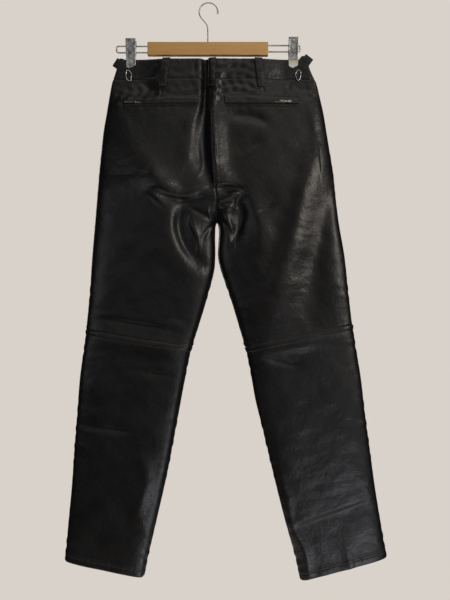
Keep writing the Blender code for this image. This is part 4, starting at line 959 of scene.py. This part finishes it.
def strip_steps(length, thick, spacing, lines=()):
    """Distances of a strip's lines: close together round its edges and its stitch lines."""
    edge = [thick / 2 * (1 - math.cos(a)) for a in np.linspace(0, math.pi / 2, 4)]
    beside = [line + d for line in lines for d in (-0.6, 0.0, 0.6) if line + d > edge[-1] + 0.1]
    steps = edge + beside
    return spread(length, steps, steps, max(int((length - 2 * steps[-1]) / spacing), 2))


def strip_relief(across, along, lines, deep=0.22, puckered=1.8):
    """Stitched grooves at distances from both sides of a strip, with the thread's puckers."""
    relief = np.zeros((len(along), len(across)))
    for line in lines:
        for run in (across, across[-1] - across):
            relief = relief - deep * bell(run - line, STRIP_GROOVE_HALF)[None, :]
            relief = relief + STRIP_PUCKER * puckers(along)[:, None] * bell(run - line, puckered)[None, :]
    return relief


def laid_strip(name, face, place, size, thick, lift=None, spacing=2.0, lines=(), reach=2.5):
    """A strip laid on the cloth. place(s, t) gives across and height, and lift(s, t) its clearance."""
    width, length = size
    across, along = strip_steps(width, thick, spacing, lines), strip_steps(length, thick, spacing)
    middle = np.zeros((len(along), len(across), 3))
    for i, t in enumerate(along / length):
        for j, s in enumerate(across / width):
            x, z = place(s, t)
            clear = CLEAR if lift is None else lift(s, t)
            middle[i, j] = x, face * (seat(face, x, z, reach) + clear + thick / 2), z
    relief = strip_relief(across, along, lines)
    return closed_strip(name, middle, (0.0, face, 0.0), across, along, thick, relief)


# %% Belt loops
LOOP_WIDTH, LOOP_THICK, LOOP_PROUD, LOOP_STAND, LOOP_BOTTOM, LOOP_STITCH = 16.0, 2.2, 1.5, 1.9, -177.0, 2.6
# node, face, across at the top, across at the bottom
BELT_LOOPS = (
    ("belt_loop_back_left", BACK, -86, -95),
    ("belt_loop_back_centre", BACK, 8, 5),
    ("belt_loop_back_right", BACK, 103, 110),
    ("belt_loop_front_left", FRONT, -98, -102),
    ("belt_loop_front_right", FRONT, 110, 114),
)
CENTRE_BACK = 4


def band_under(across):
    return "waistband_left" if across < CENTRE_BACK else "waistband_right"


def belt_loop(node, face, top_across, bottom_across):
    """A folded strip from just above the waist to below the waistband, standing off a little between."""
    top = WAIST_TOP + LOOP_PROUD

    def place(s, t):
        wide = LOOP_WIDTH * (1 - 0.3 * eased((t - 0.93) / 0.07) ** 2)
        return top_across + (bottom_across - top_across) * t + (s - 0.5) * wide, top + (LOOP_BOTTOM - top) * t

    def lift(s, t):
        curl = 0.5 * eased((t - 0.94) / 0.06) * eased(abs(s - 0.5) / 0.5)
        return CLEAR + LOOP_STAND * math.sin(math.pi * t) ** 0.6 + curl

    size = (LOOP_WIDTH, top - LOOP_BOTTOM)
    made = laid_strip(f"leather_{node}", face, place, size, LOOP_THICK, lift, 1.8, (LOOP_STITCH,))
    finish_piece(made, (strap_hide,), node, on=band_under(top_across))


for row in BELT_LOOPS:
    belt_loop(*row)
print("belt loops:", len(BELT_LOOPS))

# %% Pocket welts
# across from, across to, top, bottom, and the zip slider's place
POCKETS = {
    "left": (-174.0, -18.0, -196.0, -211.5, (-152.0, -209.4)),
    "right": (34.2, 185.3, -194.8, -211.5, (149.8, -208.7)),
}
WELT_THICK, WELT_STITCH, ZIP_THICK, ZIP_TALL, WELT_OPEN, WELT_OPEN_HALF = 1.3, 2.0, 0.8, 8.0, 6.4, 9.0
LIP_GAP, LIP_TALL, LIP_THICK, LIP_SHORTER = 2.0, 4.4, 1.1, 2.0


def welt(leg):
    """The upper lip of the pocket. Its lower edge covers the zip and gapes where the slider is."""
    start, end, top, bottom, (slider_x, _) = POCKETS[leg]

    def place(s, t):
        x = start + (end - start) * t
        low = bottom + WELT_OPEN * eased(1 - (abs(x - slider_x) - WELT_OPEN_HALF) / 9)
        return x, top + (low - top) * s

    def lift(s, t):
        return CLEAR + (ZIP_THICK + 0.35) * eased(s / 0.35)

    name, size = f"leather_pocket_welt_{leg}", (top - bottom, end - start)
    made = laid_strip(name, BACK, place, size, WELT_THICK, lift, 2.0, (WELT_STITCH,))
    finish_piece(made, (strap_hide,), f"pocket_welt_{leg}", on=f"back_upper_{leg}")


def lower_lip(leg):
    """The narrow lower lip that meets the welt over the zip."""
    start, end, _, bottom, _ = POCKETS[leg]
    start, long = start + LIP_SHORTER, end - start - 2 * LIP_SHORTER

    def place(s, t):
        return start + long * t, bottom - LIP_GAP - LIP_TALL * s

    def lift(s, t):
        return 0.1 + (ZIP_THICK + 0.5) * eased(1 - s / 0.5)

    made = laid_strip(f"leather_pocket_lip_{leg}", BACK, place, (LIP_TALL, long), LIP_THICK, lift, reach=1.0)
    finish_piece(made, (strap_hide,), on=f"back_upper_{leg}")


for leg in LEGS:
    welt(leg)
    lower_lip(leg)

# %% [markdown]
# ## Waist corners
# Past each clip the waist's corner is gathered in by a cinch strap, folded over the edge, and a small wire
# ring hangs under the clip.

# %% Side tabs
# A strap folded over the waist's corner: across, out (front is above 0), height, half width
TAB_THICK, TAB_STITCH = 1.3, 2.4
SIDE_TABS = {
    "left": {
        "width_way": (0.535, 0.845),
        "rows": (
            (-174.4, -3.0, -134.0, 5.5), (-177.5, -3.1, -131.5, 8.5), (-184.0, -3.1, -127.3, 9.5),
            (-189.5, -2.9, -123.8, 9.5), (-192.4, -1.8, -121.9, 9.5), (-193.4, 0.0, -121.3, 9.5),
            (-192.4, 1.8, -121.9, 9.5), (-189.5, 2.9, -123.8, 9.5), (-184.0, 3.1, -127.3, 9.5),
            (-177.5, 3.1, -131.5, 8.5),
        ),
    },
    "right": {
        "width_way": (0.79, -0.61),
        "rows": (
            (190.5, -3.2, -136.5, 4.0), (193.5, -3.3, -132.0, 7.5), (198.5, -3.3, -125.0, 9.0),
            (204.5, -3.1, -117.0, 9.5), (208.0, -1.9, -112.4, 9.5), (209.1, 0.0, -111.0, 9.5),
            (208.0, 1.9, -112.4, 9.5), (204.5, 3.1, -117.0, 9.5), (198.5, 3.3, -125.0, 9.5),
            (193.5, 3.4, -132.0, 8.5),
        ),
    },
}


def through(rows, spacing):
    """A smooth line through a table's rows in their order, and the distance along it."""
    rows = np.array(rows, float)
    run = np.concatenate([[0], np.cumsum(np.linalg.norm(np.diff(rows[:, :3], axis=0), axis=1))])
    known = [tuple(row) for row in np.column_stack([run, rows])]
    along = strip_steps(run[-1], TAB_THICK, spacing)
    return np.stack([smooth(known, along, column) for column in range(1, len(known[0]))], axis=-1), along


def side_tab(leg):
    way_x, way_z = SIDE_TABS[leg]["width_way"]
    line, along = through(SIDE_TABS[leg]["rows"], 1.2)
    width_way = np.array([way_x, 0.0, way_z])
    out = unit(np.cross(unit(np.gradient(line[:, :3], axis=0)), width_way))
    if out[0, 1] > 0:
        out = -out
    wide = 2 * line[:, 3].max()
    across = strip_steps(wide, TAB_THICK, 1.6, (TAB_STITCH,))
    share = across / wide * 2 - 1
    middle = line[:, None, :3] + share[None, :, None] * line[:, None, 3:] * width_way
    relief = strip_relief(across, along, (TAB_STITCH,), deep=0.2, puckered=1.6)
    made = closed_strip(f"leather_side_tab_{leg}", middle, out[:, None], across, along, TAB_THICK, relief)
    finish_piece(made, (strap_hide,), f"side_tab_{leg}", on=f"waistband_{leg}")


for leg in LEGS:
    side_tab(leg)

# %% [markdown]
# ## Metals, plastic and wood
# The hanger has been used for years: its plating has gone uneven, and its one plastic pad is darker and yellower at the
# top.
# The left zip's slider and pull take a darker copy of the nickel, which paints the shade that they hang in.

# %% Hardware materials
PAD_FROM, PAD_TO = -0.119, -0.133
WIRE_STEPS = 6


def plated(name, dark, light, smoothness=0.14, patch=8.0):
    """A plated metal whose polish and colour have gone uneven, in patches that wide in mm."""
    made, tree, shader, place = new_material(name, Metallic=1.0)
    cloud = noise(tree, place, 1000 / patch, 5.0, Roughness=0.65)
    fill(tree, shader, {
        "Base Color": mixed(tree, ranged(tree, cloud, 0.36, 0.62), dark, light),
        "Roughness": ranged(tree, cloud, 0.3, 0.7, smoothness, smoothness + 0.14),
        "Normal": bump(tree, cloud, 0.7, 0.0006),
    })
    return made


def beech():
    """Clear-varnished beech: pale brown, with long grain and short dark flecks along the bar."""
    made, tree, shader, place = new_material(
        "clear-varnished beech", Roughness=0.42, Coat_Weight=0.35, Coat_Roughness=0.18)
    long = add(tree, "ShaderNodeMapping", {"Vector": place, "Scale": (3.0, 40.0, 60.0)}).outputs[0]
    grain = noise(tree, long, 6.0, 6.0, Roughness=0.6)
    flecked = add(tree, "ShaderNodeMapping", {"Vector": place, "Scale": (90.0, 500.0, 700.0)}).outputs[0]
    dark = ranged(tree, noise(tree, flecked, 1.6, 2.0), 0.6, 0.75, 0.0, 0.35)
    colour = mixed(tree, dark, mixed(tree, grain, "#d0974f", "#efc480"), "#8a5524")
    fill(tree, shader, {"Base Color": colour, "Normal": bump(tree, grain, 0.25, 0.0002)})
    return made


def cream_plastic():
    """The clip's pad: darker and yellower at its top and nearly white at its lower end."""
    made, tree, shader, place = new_material(
        "cream moulded plastic", Roughness=0.4, Subsurface_Weight=0.1, Subsurface_Scale=0.004)
    height = add(tree, "ShaderNodeSeparateXYZ", {0: place}).outputs["Z"]
    down = ranged(tree, height, PAD_FROM, PAD_TO)
    speck = noise(tree, place, 500.0, 3.0)
    shade = add(tree, "ShaderNodeMath", {0: speck, 1: 0.5, 2: down}, operation="MULTIPLY_ADD").outputs[0]
    fill(tree, shader, {"Base Color": mixed(tree, shade, "#c4b28c", "#f4f1ea")})
    return made


def woven_tape(thread_mm=0.9):
    """Twill tape: diagonal ribs in the tape's own plane."""
    made, tree, shader, place = new_material("woven polyester zip tape", Roughness=0.85)
    ribs = add(tree, "ShaderNodeTexWave", {"Vector": place, "Scale": 1000 / thread_mm / 6.0, "Distortion": 0.3},
               wave_type="BANDS", bands_direction="DIAGONAL").outputs["Fac"]
    fill(tree, shader, {"Base Color": mixed(tree, ribs, "#0b0b0b", "#1b1a19"), "Normal": bump(tree, ribs, 0.6, 0.0002)})
    return made


def bonded_thread():
    """Black thread with a little sheen, lighter where its plies catch the light."""
    made, tree, shader, place = new_material("black bonded thread", Roughness=0.5, Sheen_Weight=0.2)
    fill(tree, shader, {"Base Color": mixed(tree, noise(tree, place, 1600.0, 2.0), "#0d0c0c", "#2c2a28")})
    return made


chrome = plated("worn chrome plate", "#9b9b99", "#f4f4f2", smoothness=0.22)
nickel = plated("worn nickel plate", "#6f6a60", "#cfc9bc", smoothness=0.22, patch=2.5)
# A darker copy of the nickel for the left zip's slider and pull: painted shade, not a different plating
nickel_painted_shade = plated("nickel plate darkened as painted shade", "#45423c", "#98928a", smoothness=0.3, patch=2.5)
steel_wire = plated("polished steel wire", "#a9a9a7", "#e8e8e6", patch=12.0)
wood, pad_plastic, tape_cloth, thread = beech(), cream_plastic(), woven_tape(), bonded_thread()


def repaint(node, material):
    """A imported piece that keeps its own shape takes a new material."""
    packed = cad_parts[node]
    packed.data.materials.clear()
    packed.data.materials.append(material)


def wire(name, points, radius, closed=False, swell=None, sides=3):
    """A wire bent smoothly through points in millimetres, made a mesh."""
    data = bpy.data.curves.new(name, "CURVE")
    data.dimensions = "3D"
    data.bevel_depth, data.bevel_resolution, data.resolution_u = radius * MM, sides, WIRE_STEPS
    data.use_fill_caps = not closed
    line = data.splines.new("BEZIER")
    line.bezier_points.add(len(points) - 1)
    line.use_cyclic_u = closed
    for i, (knot, place) in enumerate(zip(line.bezier_points, points)):
        knot.co = Vector(place) * MM
        knot.handle_left_type = knot.handle_right_type = "AUTO"
        knot.radius = 1.0 if swell is None else swell[i]
    pick(put(name, data))
    bpy.ops.object.convert(target="MESH")
    made = bpy.context.object
    weld(made)
    return made


# %% Side rings
RING_WIRE = 1.0
# The small wire rings that hang below the clips: across, height
SIDE_RINGS = {
    "left": ((-167, -139.5), (-162, -142.5), (-159.3, -147.5), (-159.6, -155), (-162.6, -162), (-167, -159.5),
             (-170.2, -152), (-169.8, -144)),
    "right": ((186.8, -139), (182.6, -142.5), (180.2, -147), (181.2, -154), (185.2, -160.5), (189, -156),
              (190.6, -148), (189.8, -141.5)),
}
for leg in LEGS:
    points = [(x, -(seat(BACK, x, z, reach=2.5) + CLEAR + RING_WIRE), z) for x, z in SIDE_RINGS[leg]]
    ring = wire(f"wire_ring_{leg}", points, RING_WIRE, closed=True)
    finish_piece(ring, (steel_wire,), f"side_ring_{leg}")

# %% [markdown]
# ## Zips
# Each back pocket closes with a fine metal zip: a woven tape, a row of teeth, and the slider with its pull,
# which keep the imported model's own shapes because the pull moves on its hinge.

# %% Zip tape, teeth and slider
TOOTH_PITCH, TOOTH, TOOTH_STAGGER = 1.5, (0.8, 0.7, 2.6), 0.45
# The tape stops this share of the pocket's length before each end
ZIP_SHORTER = 1 / 24


def zip_parts(leg):
    start, end, _, _, (_, zip_z) = POCKETS[leg]
    step = (end - start) * ZIP_SHORTER
    first, last = start + step, end - step

    def place(s, t):
        return first + (last - first) * t, zip_z + ZIP_TALL * (0.5 - s)

    tape = laid_strip(f"zip_tape_woven_{leg}", BACK, place, (ZIP_TALL, last - first), ZIP_THICK, None, 3.0)
    finish_piece(tape, (tape_cloth,), f"zip_tape_{leg}", on=f"back_upper_{leg}")
    bpy.ops.mesh.primitive_cube_add(size=1)
    tooth = bpy.context.object
    tooth.name = f"zip_teeth_{leg}"
    tooth.data.transform(Matrix.Diagonal((*(Vector(TOOTH) * MM), 1)))
    shape = [corner.co.copy() for corner in tooth.data.vertices]
    faces = [tuple(face.vertices) for face in tooth.data.polygons]
    corners, teeth = [], []
    for i, x in enumerate(np.arange(first + 1, last - 1, TOOTH_PITCH)):
        out = seat(BACK, x, zip_z) + CLEAR + ZIP_THICK + TOOTH[1] / 2
        side = TOOTH_STAGGER if i % 2 else -TOOTH_STAGGER
        teeth += [tuple(k + len(corners) for k in face) for face in faces]
        corners += [c + Vector((x, -out, zip_z + side)) * MM for c in shape]
    mesh = bpy.data.meshes.new(tooth.name)
    mesh.from_pydata(corners, [], teeth)
    tooth.data = mesh
    finish_piece(tooth, (nickel,))
    for part in ("slider", "pull"):
        # The left zip's parts take the darker nickel, which paints shade on them
        repaint(f"zip_{part}_{leg}", nickel_painted_shade if leg == "left" else nickel)


for leg in LEGS:
    zip_parts(leg)

# %% [markdown]
# ## Fly
# The front, which the picture doesn't show, is plain: a placket that covers the fly, and the end of the
# waistband that laps over it and buttons.

# %% Placket, tab and button
# Places: across from, across to, top, bottom
WAIST_TAB, TAB_LEATHER, WAIST_TAB_STITCH, WAIST_TAB_ROUND = (-4.0, 36.0, -119.0, -157.0), 1.4, 2.6, 4.0
BUTTON_AT, BUTTON_RADIUS = (22.0, -138.0), 8.5
PLACKET, PLACKET_THICK, FLY_STITCH = (-38.0, 10.0, -161.0, -330.0), 1.2, 3.0
# How far the placket's free edge curves in at its lower end, and its other edge leans
PLACKET_CURVE, PLACKET_LEAN = 34, 5


def waistband_tab():
    start, end, top, bottom = WAIST_TAB

    def place(s, t):
        rounding = WAIST_TAB_ROUND * eased((t - 0.8) / 0.2)
        return start + (end - start) * t, top - rounding + (bottom - top + 2 * rounding) * s

    name, size = "leather_waistband_tab", (top - bottom, end - start)
    made = laid_strip(name, FRONT, place, size, TAB_LEATHER, None, 2.0, (WAIST_TAB_STITCH,))
    finish_piece(made, (strap_hide,), "waistband_tab", on="waistband_left")


def fly_placket():
    start, end, top, bottom = PLACKET

    def place(s, t):
        low_start = start + PLACKET_CURVE * eased((t - 0.72) / 0.28)
        return low_start + (end + PLACKET_LEAN * t - low_start) * s, top + (bottom - top) * t

    name, size = "leather_fly_placket", (end - start, top - bottom)
    made = laid_strip(name, FRONT, place, size, PLACKET_THICK, None, 3.0, (FLY_STITCH,))
    finish_piece(made, (hide,), "fly_placket", on="front_upper_left")


def waistband_button():
    """A round button with a rim, turned as a profile: radius, height."""
    x, z = BUTTON_AT
    out = seat(FRONT, x, z, reach=6.0) + CLEAR + TAB_LEATHER + 0.5
    profile = ((0, 2.2), (3.2, 2.25), (4.8, 2.2), (5.6, 2.5), (6.2, 2.9), (7.0, 3.0), (7.8, 2.85), (8.3, 2.4),
               (BUTTON_RADIUS, 1.9), (8.3, 1.1), (BUTTON_RADIUS - 0.7, 0.5), (4.0, 0), (0, 0))
    turns = np.linspace(0, math.tau, 49)
    points = np.array([[(x + r * math.cos(a), out + h, z + r * math.sin(a)) for a in turns] for r, h in profile])
    made = sheet_mesh("turned_waistband_button", points)
    weld(made)
    finish_piece(made, (nickel,), "waistband_button", smooth_angle=50)


waistband_tab()
fly_placket()
waistband_button()

# %% [markdown]
# ## Sewing
# Black bonded thread, seven stitches an inch. A row of stitches runs in each groove that the pieces were
# given for it, and bar tacks, which are short close rows, hold the ends of the belt loops.

# %% Stitches
STITCH_PITCH, STITCH_LONG, THREAD_RADIUS, STITCH_ENDS_IN, STITCH_SUNK = 3.6, 2.8, 0.36, 1.6, 0.3
TACK_PITCH, TACK_LONG, TACKS_AT = 1.0, 2.6, (3.0, -3.2)
WELT_ENDS_STITCH = 2.2
# Along a stitch: place, thickness
STITCH_RINGS = np.array(((-1.0, 0.35), (-0.7, 1.0), (0.7, 1.0), (1.0, 0.35)))
STITCH_SIDES = 5


def sew(name, rows, on, pitch=STITCH_PITCH, long=STITCH_LONG, crosswise=False):
    """Stitches at a pitch along rows of surface points, each row given with its way out. Gives their number."""
    centres, ways, outs = [], [], []
    for points, out in rows:
        run = runs(points, 0)
        at = np.arange(STITCH_ENDS_IN, run[-1] - STITCH_ENDS_IN, pitch)

        def read(values, where):
            return np.stack([np.interp(where, run, column) for column in values.T], axis=-1)

        centres.append(read(points, at))
        ways.append(unit(read(points, at + 0.6) - read(points, at - 0.6)))
        outs.append(unit(read(out, at)))
    centre, way, out = (np.concatenate(parts) for parts in (centres, ways, outs))
    if crosswise:
        way = np.cross(out, way)
    side = np.cross(way, out)
    turn = np.arange(STITCH_SIDES) * math.tau / STITCH_SIDES
    ring = side[:, None, None] * np.cos(turn)[:, None] + out[:, None, None] * np.sin(turn)[:, None]
    place, thick = STITCH_RINGS[:, 0, None, None], THREAD_RADIUS * STITCH_RINGS[:, 1, None, None]
    sunk = -STITCH_SUNK * np.abs(place) ** 3
    corners = centre[:, None, None] + way[:, None, None] * place * long / 2 + out[:, None, None] * sunk + ring * thick
    rings, sides = len(STITCH_RINGS), STITCH_SIDES
    faces = [(i * sides + j, i * sides + (j + 1) % sides, (i + 1) * sides + (j + 1) % sides, (i + 1) * sides + j)
             for i in range(rings - 1) for j in range(sides)]
    faces += [tuple(range(sides))[::-1], tuple(range((rings - 1) * sides, rings * sides))]
    mesh = bpy.data.meshes.new(name)
    mesh.from_pydata((corners.reshape(-1, 3) * MM).tolist(), [],
                     [tuple(k + n * rings * sides for k in face) for n in range(len(centre)) for face in faces])
    finish_piece(put(name, mesh), (thread,), on=on)
    return len(centre)


def seam_rows(outline):
    """The rows of a piece's stitches, read from its grid at the distances that its seams' forms name."""
    points, normals = outline["points"], outline["normals"]
    found = []
    for side, (form, _, _) in enumerate(outline["edges"]):
        for line in SEAMS[form]["stitches"]:
            step = SEAMS[form]["steps"].index(line)
            step = -1 - step if side % 2 else step
            found.append((points[:, step], normals[:, step]) if side < 2 else (points[step], normals[step]))
    return found


def strip_rows(name, beside=(), ends=()):
    """Rows along a strip at distances from its sides, and across it at distances from its ends.
    A distance below 0 is taken from the far side or end."""
    top, out, across, along = strip_tops[name]
    columns = [np.abs(across - at % across[-1]).argmin() for at in beside]
    rows = [np.abs(along - at % along[-1]).argmin() for at in ends]
    return ([(top[:, column], out[:, column]) for column in columns]
            + [(top[row, 1:-1], out[row, 1:-1]) for row in rows])


def both_ways(distance):
    return distance, -distance


# strip, piece that it is sewn on, distances of its rows from its sides, and from its ends
STRIP_ROWS = [row for leg in LEGS for row in (
    (f"pocket_welt_{leg}", f"back_upper_{leg}", both_ways(WELT_STITCH), both_ways(WELT_ENDS_STITCH)),
    (f"side_tab_{leg}", f"waistband_{leg}", both_ways(TAB_STITCH), ()),
)] + [
    ("fly_placket", "front_upper_left", (FLY_STITCH,), ()),
    ("waistband_tab", "waistband_left", both_ways(WAIST_TAB_STITCH), ()),
]

count = 0
for node, outline in outlines.items():
    rows = seam_rows(outline)
    if rows:
        count += sew(f"stitches_{node}", rows, node)
for node, _, across, _ in BELT_LOOPS:
    strip, on = f"leather_{node}", band_under(across)
    count += sew(f"stitches_{node}", strip_rows(strip, both_ways(LOOP_STITCH)), on)
    count += sew(f"tacks_{node}", strip_rows(strip, ends=TACKS_AT), on, TACK_PITCH, TACK_LONG, crosswise=True)
for node, on, beside, ends in STRIP_ROWS:
    count += sew(f"stitches_{node}", strip_rows(f"leather_{node}", beside, ends), on)
print("stitches:", count)

# %% [markdown]


# %% [markdown]
# ## The hanger
# A beech bar with a wire hook, and two sprung clips that slide on paired wires at its ends.

# %% Bar, hook and wires
# across from, across to, top, bottom, thickness, radius of its edges
BAR = (-125.9, 123.2, -81.5, -108.7, 12.0, 1.2)
ROD_WIRE, ROD_BEND = 1.5, 3.5
# End of the wires' bend, and their two heights
RODS = {"left": (-190.0, -89.0, -102.0), "right": (189.0, -87.2, -100.2)}
HOOK_WIRE, HOOK_RADIUS, STEM_TOP, STEM_ACROSS, NECK_PULL = 1.25, 19.25, -50.0, -2.0, 22.0
HOOK_TURNS = (-12, 212)
# The knob at the hook's end: how much thicker than the wire
HOOK_KNOB = [1.5, 1.8, 1.3]


def hanger_bar():
    start, end, top, bottom, thick, radius = BAR
    bpy.ops.mesh.primitive_cube_add(size=1)
    bar = bpy.context.object
    bar.name = "beech_bar"
    bar.data.transform(Matrix.Translation(Vector((start + end, 0, top + bottom)) * MM / 2)
                       @ Matrix.Diagonal((*(Vector((end - start, thick, top - bottom)) * MM), 1)))
    rounded = bar.modifiers.new("rounded edges", "BEVEL")
    rounded.width, rounded.segments, rounded.limit_method = radius * MM, 4, "NONE"
    bpy.ops.object.modifier_apply(modifier=rounded.name)
    finish_piece(bar, (wood,), "hanger_bar")


def hanger_hook():
    """The open hook bends on into its neck, and its inside top is the origin."""
    centre_z = HOOK_WIRE - HOOK_RADIUS
    turns = np.linspace(*np.radians(HOOK_TURNS), 22)
    points = [(HOOK_RADIUS * math.cos(a), 0, centre_z + HOOK_RADIUS * math.sin(a)) for a in turns]
    (x0, _, z0), a0 = points[-1], turns[-1]
    for t in np.linspace(0, 1, 7)[1:]:
        h00, h10 = 2 * t**3 - 3 * t**2 + 1, t**3 - 2 * t**2 + t
        h01, h11 = -2 * t**3 + 3 * t**2, t**3 - t**2
        points.append((h00 * x0 - h10 * NECK_PULL * math.sin(a0) + h01 * STEM_ACROSS, 0,
                       h00 * z0 + h10 * NECK_PULL * math.cos(a0) + h01 * STEM_TOP - h11 * NECK_PULL))
    points += [(-1.6, 0, -65.0), (-1.2, 0, BAR[2] + CLEAR)]
    swell = HOOK_KNOB + [1.0] * (len(points) - len(HOOK_KNOB))
    made = wire("hook_wire", points, HOOK_WIRE, swell=swell, sides=4)
    finish_piece(made, (steel_wire,), "hanger_hook")


def hanger_rods(leg):
    """One wire that leaves the bar, bends back at its end and returns below."""
    end, upper, lower = RODS[leg]
    sign = -1 if leg == "left" else 1
    start = BAR[0] - CLEAR if leg == "left" else BAR[1] + CLEAR
    points = [(start, 0, upper), ((start + end) / 2, 0, upper)]
    for centre_z, first in ((upper - ROD_BEND, math.pi / 2), (lower + ROD_BEND, 0.0)):
        for a in np.linspace(first, first - math.pi / 2, 4):
            points.append((end + sign * ROD_BEND * (math.cos(a) - 1), 0, centre_z + ROD_BEND * math.sin(a)))
    points += [((start + end) / 2, 0, lower), (start, 0, lower)]
    made = wire(f"rod_wire_{leg}", points, ROD_WIRE, sides=4)
    finish_piece(made, (steel_wire,), f"hanger_rods_{leg}")


hanger_bar()
hanger_hook()
for leg in LEGS:
    hanger_rods(leg)

# %% Clips
CLIP_GRIP_TOP, CLIP_TOP_HALF, CLIP_SHEET, PAD_TOP, PAD_SHEET = -117.0, 9.0, 1.2, -117.6, 2.2
# Where across the plate its blunt lower point is, from -1 to 1
JAW_POINT, PAD_POINT = -0.45, -0.15
# How far the plate's lower corners rise from that point, and how much of its width goes on the way down
POINT_RISE, JAW_NARROWS = 4.5, 0.12
# The plate is pressed in this deep, inside a rim this wide
PRESSED, RIM = 0.5, 1.8
# The jaws' sides: how far out and how deep they lie, and where they stop
FLANGE_KEEPS, FLANGE_DEEP, FLANGE_BOTTOM = 2.9, 4.5, -108.0


def jaw_out(leg, height):
    """The inner face of a clip's jaw: it slopes in to the cloth and is then upright."""
    top = CLIPS[leg][2]
    sloped = np.clip((top - height) / (top - CLIP_GRIP_TOP), 0, 1)
    return CLIP_TOP_HALF + (CLIP_GRIP + CLEAR - CLIP_TOP_HALF) * sloped


def jaw_plate(node, leg, face, z_from, z_to, pointed, sheet=CLIP_SHEET, material=chrome, corner=2.0):
    """A stamped plate with round corners at its top and a blunt pointed lower end."""
    start, end = CLIPS[leg][:2]
    half = (end - start) / 2
    across, along = strip_steps(2 * half, sheet, 1.6), strip_steps(z_from - z_to, sheet, 1.6)
    share = across / half - 1
    narrow = 1 - JAW_NARROWS * (along / along[-1]) * (0.6 if pointed else 0.3)
    rounding = corner * (1 - np.sqrt(np.maximum(1 - np.maximum(0, (corner - along) / corner) ** 2, 0)))
    x = (start + end) / 2 + share[None, :] * (half * narrow - rounding)[:, None]
    point = POINT_RISE * np.abs(share - pointed) ** 1.2 if pointed else 0 * share
    z = (z_from - along)[:, None] + point[None, :] * eased(1 - (along[-1] - along) / 10)[:, None]
    middle = np.stack([x, face * (jaw_out(leg, z) + sheet / 2), z], axis=-1)
    pressed = -PRESSED * eased(edge_distance(across, along) - RIM)
    made = closed_strip(f"stamped_{node}", middle, (0.0, face, 0.0), across, along, sheet, pressed)
    finish_piece(made, (material,), node)


def jaw_flange(name, leg, face, side):
    """A jaw's side, folded back towards the wires. It stops where the jaw closes on the cloth."""
    start, end, top, _ = CLIPS[leg]
    x = (start if side < 0 else end) - side * CLIP_SHEET / 2
    along = strip_steps(top - FLANGE_BOTTOM, CLIP_SHEET, 2.0)
    across = strip_steps(1.0, CLIP_SHEET * 0.45, 0.3)
    height = top - along
    outer = jaw_out(leg, height) + 0.3
    inner = np.minimum(np.maximum(FLANGE_KEEPS, outer - FLANGE_DEEP), outer - 0.4)
    y = outer[:, None] + (inner - outer)[:, None] * across[None, :]
    middle = np.stack([np.full_like(y, x), face * y, np.broadcast_to(height[:, None], y.shape)], axis=-1)
    flat = np.zeros(y.shape)
    made = closed_strip(name, middle, (float(side), 0.0, 0.0), across * 4, along, CLIP_SHEET, flat)
    finish_piece(made, (chrome,))


for leg in LEGS:
    top, bottom = CLIPS[leg][2:]
    if leg == "right":
        jaw_plate("clip_right_front_jaw", leg, BACK, top, PAD_TOP + 0.3, 0)
        jaw_plate("clip_right_pad", leg, BACK, PAD_TOP, bottom, PAD_POINT, PAD_SHEET, pad_plastic, 0.6)
    else:
        jaw_plate("clip_left_front_jaw", leg, BACK, top, bottom, JAW_POINT)
    jaw_plate(f"clip_{leg}_back_jaw", leg, FRONT, top, bottom, JAW_POINT)
    for face, word in ((BACK, "front"), (FRONT, "back")):
        for side, which in ((-1, "left"), (1, "right")):
            jaw_flange(f"clip_{leg}_{word}_jaw_{which}_side", leg, face, side)
    repaint(f"clip_{leg}_yoke", chrome)
